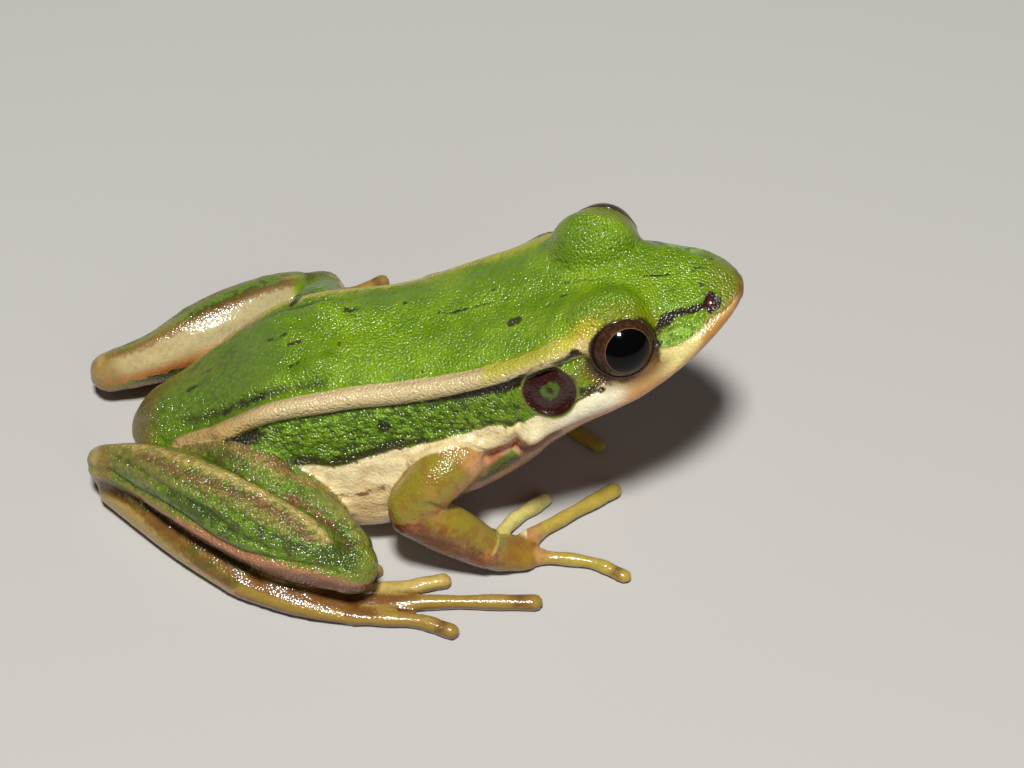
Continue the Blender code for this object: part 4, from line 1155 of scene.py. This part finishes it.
# %% [markdown]
# The fine grain is strongest on the back and weakest on the pale skin, the ear drum and the digits.
# The flank and the legs also have leathery creases. Both are kept as a share for each point.

# %% Where the skin is grainy and where it is creased
GRAIN = (
    ("thigh", 0.8), ("shank", 0.8), ("upper", 0.4), ("forearm", 0.35), ("tarsus", 0.3), ("foot", 0.2),
    ("toe", 0.15), ("hand", 0.25), ("finger", 0.15),
)
grain = np.where(pale > 0, 0.3, 1.0) * np.where(ear < EAR_RADIUS, 0.25, 1.0)
for part, share in GRAIN:
    grain = np.where(region(part) > 0, share, grain)
grain = np.where(in_strap > 0, 0.7, np.where(ridge_line < 0.8, 0.3, grain))
grain = np.where((y > 0) & (region("shank") > 0) & (between(degrees, 97, 200) > 0), 0.15, grain)
grain = spread(grain, 6)
leather = ease((below_fold - 1.3) / 0.5) * ease((border - below_fold) / 0.5) * ease((37 - x) / 2)
leather = np.maximum(leather, 0.45 * ease((17 - x) / 9) * (below_fold < -0.9)) * (1 - on_limb)
leather = np.maximum(leather,
    0.5 * on_leg * (y < 0) * ease((degrees - pink_top) / 10) * (0.3 + 0.7 * ease((knees - 3) / 2)))

# %% [markdown]
# The paint itself is the same short chain for every layer: read the distance, add noise, pass it
# through a smooth step and mix in the colour. Over the paint lies a thin wet film, and under it a fine
# leather grain, which is too small for the mesh and is given to the light as bumps. The leathery
# creases are bumps as well, and they are also darkened in the colour as painted shade.

# %% Skin material
EXPOSURE = 1.1
PEBBLE_SIZE, PEBBLE_STRETCH = 0.46, (0.55, 1.0, 1.0)
GRAIN_SIZE, GRAIN_DEPTH, SCATTER_DEPTH = 0.25, 0.2, 0.6


def paint(colour):
    """A 0 to 255 screen colour as linear light for the material."""
    share = np.array(colour) / 255
    linear = np.where(share < 0.04045, share / 12.92, ((share + 0.055) / 1.055) ** 2.4)
    return (*(linear / EXPOSURE), 1.0)


class Nodes:
    """Short ways to add and join nodes of one material."""

    def __init__(self, name):
        """A new material with its Principled shader at hand."""
        self.material = bpy.data.materials.new(name)
        self.material.use_nodes = True
        self.tree = self.material.node_tree
        self.surface = self.tree.nodes["Principled BSDF"]

    def add(self, kind, settings=(), inputs=()):
        """A node with these settings, and with a value or another node's output in each input."""
        node = self.tree.nodes.new(kind)
        for key, value in dict(settings).items():
            setattr(node, key, value)
        for key, value in dict(inputs).items():
            self.put(value, node.inputs[key])
        return node

    def put(self, value, socket):
        """Joins an output to the socket, or sets the socket's own value."""
        if isinstance(value, bpy.types.NodeSocket):
            self.tree.links.new(value, socket)
        else:
            socket.default_value = value

    def set(self, inputs):
        """Puts each value on the shader's own socket of that name."""
        for key, value in inputs.items():
            self.put(value, self.surface.inputs[key])

    def math(self, operation, first, second=0.0):
        """The operation done on two numbers."""
        return self.add("ShaderNodeMath", {"operation": operation}, {0: first, 1: second}).outputs[0]

    def attribute(self, name):
        """The number stored for each point under this name."""
        return self.add("ShaderNodeAttribute", {"attribute_name": name}).outputs["Fac"]

    def step(self, value, low, high, top=1.0):
        """0 below low, top above high and a smooth step between."""
        inputs = {"Value": value, "From Min": low, "From Max": high, "To Max": top}
        node = self.add("ShaderNodeMapRange", {"interpolation_type": "SMOOTHSTEP"}, inputs)
        return node.outputs["Result"]

    def mix(self, factor, first, second, blend="MIX"):
        """The second colour laid over the first by the factor."""
        settings = {"data_type": "RGBA", "blend_type": blend}
        node = self.add("ShaderNodeMix", settings, {0: factor, 6: first, 7: second})
        return node.outputs[2]

    def noise(self, place, size, detail=2.0, rough=0.5):
        """Smooth noise from 0 to 1 with lumps of this size in millimetres."""
        inputs = {"Vector": place, "Scale": 1 / (size * MM), "Detail": detail, "Roughness": rough}
        return self.add("ShaderNodeTexNoise", {}, inputs).outputs[0]


def store(mesh, name, values):
    """A number for each point of the mesh, which the material can read."""
    mesh.attributes.new(name, "FLOAT", "POINT").data.foreach_set("value", values.astype(np.float32))

# %% The skin's ground colour and its layers
n = Nodes("frog skin")
place = n.add("ShaderNodeTexCoord").outputs["Object"]
broad, ragged, fine = n.noise(place, 3.0, 3), n.noise(place, 0.9, 3, 0.6), n.noise(place, 0.35, 2)
jitter = n.math("ADD", n.math("MULTIPLY", ragged, 1.3), n.math("MULTIPLY", fine, 0.7))
jitter = n.math("SUBTRACT", jitter, 1.0)
colour = n.mix(n.step(broad, 0.35, 0.68), paint((100, 136, 6)), paint((124, 156, 14)))
colour = n.mix(n.step(fine, 0.55, 0.75, 0.35), colour, paint((88, 116, 6)))
for name, shade, distance, soft, rag, cover in LAYERS:
    key = name.replace(" ", "_")
    store(skin_mesh, key, distance)
    reach = n.math("ADD", n.attribute(key), n.math("MULTIPLY", jitter, rag * 2.2))
    colour = n.mix(n.step(reach, -soft, soft, cover), colour, paint(shade))

# %% Creases, grain and wet film
store(skin_mesh, "leather", leather)
stretched = n.add("ShaderNodeVectorMath", {"operation": "MULTIPLY"}, {0: place, 1: PEBBLE_STRETCH}).outputs[0]
pebbles = n.add("ShaderNodeTexVoronoi", {}, {"Vector": stretched, "Scale": 1 / (PEBBLE_SIZE * MM)})
folds = n.math("MULTIPLY", n.step(pebbles.outputs["Distance"], 0.35, 0.8), n.attribute("leather"))
# painted shade: the leather creases are darkened in the colour as well as sunk in the bumps
colour = n.mix(n.math("MULTIPLY", folds, 0.72), colour, paint((38, 48, 8)))
tone = n.step(n.math("ADD", n.math("MULTIPLY", ragged, 0.6), n.math("MULTIPLY", fine, 0.4)), 0.3, 0.72)
colour = n.mix(0.3, colour, n.mix(tone, (0.45, 0.42, 0.4, 1), (1.35, 1.35, 1.3, 1)), "MULTIPLY")
cells = n.add("ShaderNodeTexVoronoi", {}, {"Vector": place, "Scale": 1 / (GRAIN_SIZE * MM)})
domes = n.math("POWER", cells.outputs["Distance"], 2.0)
store(skin_mesh, "grain", grain)
height = n.math("SUBTRACT", n.math("MULTIPLY", fine, 0.5), domes)
height = n.math("SUBTRACT", n.math("MULTIPLY", height, n.attribute("grain")), n.math("MULTIPLY", folds, 0.6))
bumps = n.add("ShaderNodeBump", {}, {"Strength": 0.8, "Distance": GRAIN_DEPTH * MM, "Height": height})
n.set({
    "Normal": bumps.outputs[0], "Coat Normal": bumps.outputs[0], "Base Color": colour,
    "Roughness": n.math("ADD", n.step(ragged, 0.3, 0.7, 0.16), 0.34), "Specular IOR Level": 0.14,
    "Coat Weight": 1.0, "Coat Roughness": 0.15, "Subsurface Weight": 0.08,
    "Subsurface Radius": (1.0, 0.5, 0.25), "Subsurface Scale": SCATTER_DEPTH * MM,
})
print(len(n.tree.nodes), "nodes in the skin's material")

# %% Finish the skin
points = points_done
skin_mesh.vertices.foreach_set("co", ((points - CENTRE) * MM).astype(np.float32).ravel())
skin_mesh.update()
skin = placed("skin", skin_mesh)
skin_mesh.shade_smooth()
skin_mesh.materials.clear()
skin_mesh.materials.append(n.material)
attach(skin, "root")
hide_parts(*[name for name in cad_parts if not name.startswith("eye")])
print("the skin has", len(skin_mesh.vertices), "points and", len(skin_mesh.polygons), "faces")

# %% [markdown]
# The iris is dark brown with lighter flecks, and a thin copper ring bounds the wide pupil. Both are
# rings about the gaze, so the material reads each point's angle from it. A thin clear coat with almost
# no roughness gives the one sharp glint of a wet eye.

# %% Eye materials
PUPIL, IRIS_EDGE = 41.5, 64.0
e = Nodes("eye")
angle = e.attribute("gaze_angle")
where = e.add("ShaderNodeTexCoord").outputs["Object"]
flecks = e.noise(where, 0.35, 4, 0.7)
iris = e.mix(e.step(flecks, 0.35, 0.75, 0.8), paint((44, 27, 15)), paint((92, 62, 40)))
iris = e.mix(e.step(angle, IRIS_EDGE - 3, IRIS_EDGE), iris, paint((30, 20, 12)))
ring = e.math("SUBTRACT", 0.5, e.math("ABSOLUTE", e.math("SUBTRACT", angle, PUPIL + 0.8)))
iris = e.mix(e.step(ring, -0.5, 0.5), iris, paint((140, 96, 66)))
iris = e.mix(e.step(angle, PUPIL + 0.5, PUPIL), iris, paint((5, 5, 6)))
e.set({"Base Color": iris, "Roughness": 0.12, "Specular IOR Level": 0.1, "Coat Weight": 0.16,
    "Coat Roughness": 0.02})

b = Nodes("lid bead")
b.set({"Base Color": paint((50, 34, 20)), "Roughness": 0.2, "Coat Weight": 0.5})

# %% Eye pieces
for name, eye in EYES.items():
    places, faces, angle = eyeball(eye)
    bead_places, bead_faces = bead(eye)
    mesh = bpy.data.meshes.new(f"eye_{name}")
    every = np.concatenate([places, bead_places])
    faces = faces + [[corner + len(places) for corner in face] for face in bead_faces]
    mesh.from_pydata(((every - CENTRE) * MM).tolist(), [], faces)
    store(mesh, "gaze_angle", np.concatenate([angle, np.full(len(bead_places), 90.0)]))
    mesh.materials.append(e.material)
    mesh.materials.append(b.material)
    material_of = np.zeros(len(mesh.polygons), np.int32)
    material_of[-len(bead_faces):] = 1
    mesh.polygons.foreach_set("material_index", material_of)
    mesh.shade_smooth()
    piece = placed(f"eyeball_{name}", mesh)
    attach(piece, "root")
    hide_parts(f"eye_{name}")
    print("the", name, "eye has", len(mesh.polygons), "faces")

# %% [markdown]
# The camera looks from the photograph's viewpoint, on the frog's right and half way down on it. The
# floor is plain and pale. The light is one soft box over the frog, and a large weak one in front
# brightens the shade under the head without adding a second glint to the eyes.

# %% Camera
CAMERA_TURN, CAMERA_HEIGHT, CAMERA_DISTANCE = np.radians(1.0), np.radians(50.0), 270.0
CAMERA_TARGET = np.array((35.8, 9.6, 0.0))
CAMERA_LENS = 36 * 2700 / 1024


def stand(piece, sideways, aim, where):
    """Puts a camera or lamp at this place, its own x axis along sideways and its back along aim."""
    axes = np.array((sideways, np.cross(aim, sideways), aim)).T
    piece.matrix_world = Matrix([[*axes[k], where[k]] for k in range(3)] + [[0, 0, 0, 1]])


turn, height = CAMERA_TURN, CAMERA_HEIGHT
backwards = np.array((np.sin(turn) * np.cos(height), -np.cos(turn) * np.cos(height), np.sin(height)))
right = np.array((np.cos(turn), np.sin(turn), 0.0))
camera_data = bpy.data.cameras.new("camera")
camera_data.sensor_width, camera_data.lens = 36, CAMERA_LENS
camera_data.clip_start, camera_data.clip_end = 0.01, 20
camera = placed("camera", camera_data)
stand(camera, right, backwards, (CAMERA_TARGET + backwards * CAMERA_DISTANCE - CENTRE) * MM)
bpy.context.scene.camera = camera
print("the camera looks down at", np.degrees(CAMERA_HEIGHT).round(1), "degrees")

# %% Floor and light
floor_mesh = bpy.data.meshes.new("floor")
floor_mesh.from_pydata([(-3, -3, 0), (3, -3, 0), (3, 3, 0), (-3, 3, 0)], [], [(0, 1, 2, 3)])
floor = placed("floor", floor_mesh)
f = Nodes("pale floor")
f.set({"Base Color": (0.45, 0.43, 0.4, 1), "Roughness": 0.7})
floor_mesh.materials.append(f.material)

world = bpy.data.worlds.new("studio")
world.use_nodes = True
backdrop = world.node_tree.nodes["Background"]
backdrop.inputs["Color"].default_value = (1.0, 0.98, 0.95, 1)
backdrop.inputs["Strength"].default_value = 0.035
bpy.context.scene.world = world
bpy.context.scene.view_settings.view_transform = "Standard"


def soft_box(name, direction, distance, size, power, glints=True):
    """A square light in the given direction from the frog's middle, facing it, with glints or without."""
    data = bpy.data.lights.new(name, "AREA")
    data.size, data.energy = size, power
    lamp = placed(name, data)
    aim = np.array(direction, float) / np.linalg.norm(direction)
    sideways = np.cross((0, 1, 0), aim)
    stand(lamp, sideways / np.linalg.norm(sideways), aim, aim * distance + (0, 0, 0.01))
    lamp.visible_glossy = glints


soft_box("key", (0.0, -0.3, 1.0), 0.6, 0.08, 4.8)
soft_box("fill", (0.5, -0.9, 0.6), 0.9, 0.5, 0.8, False)
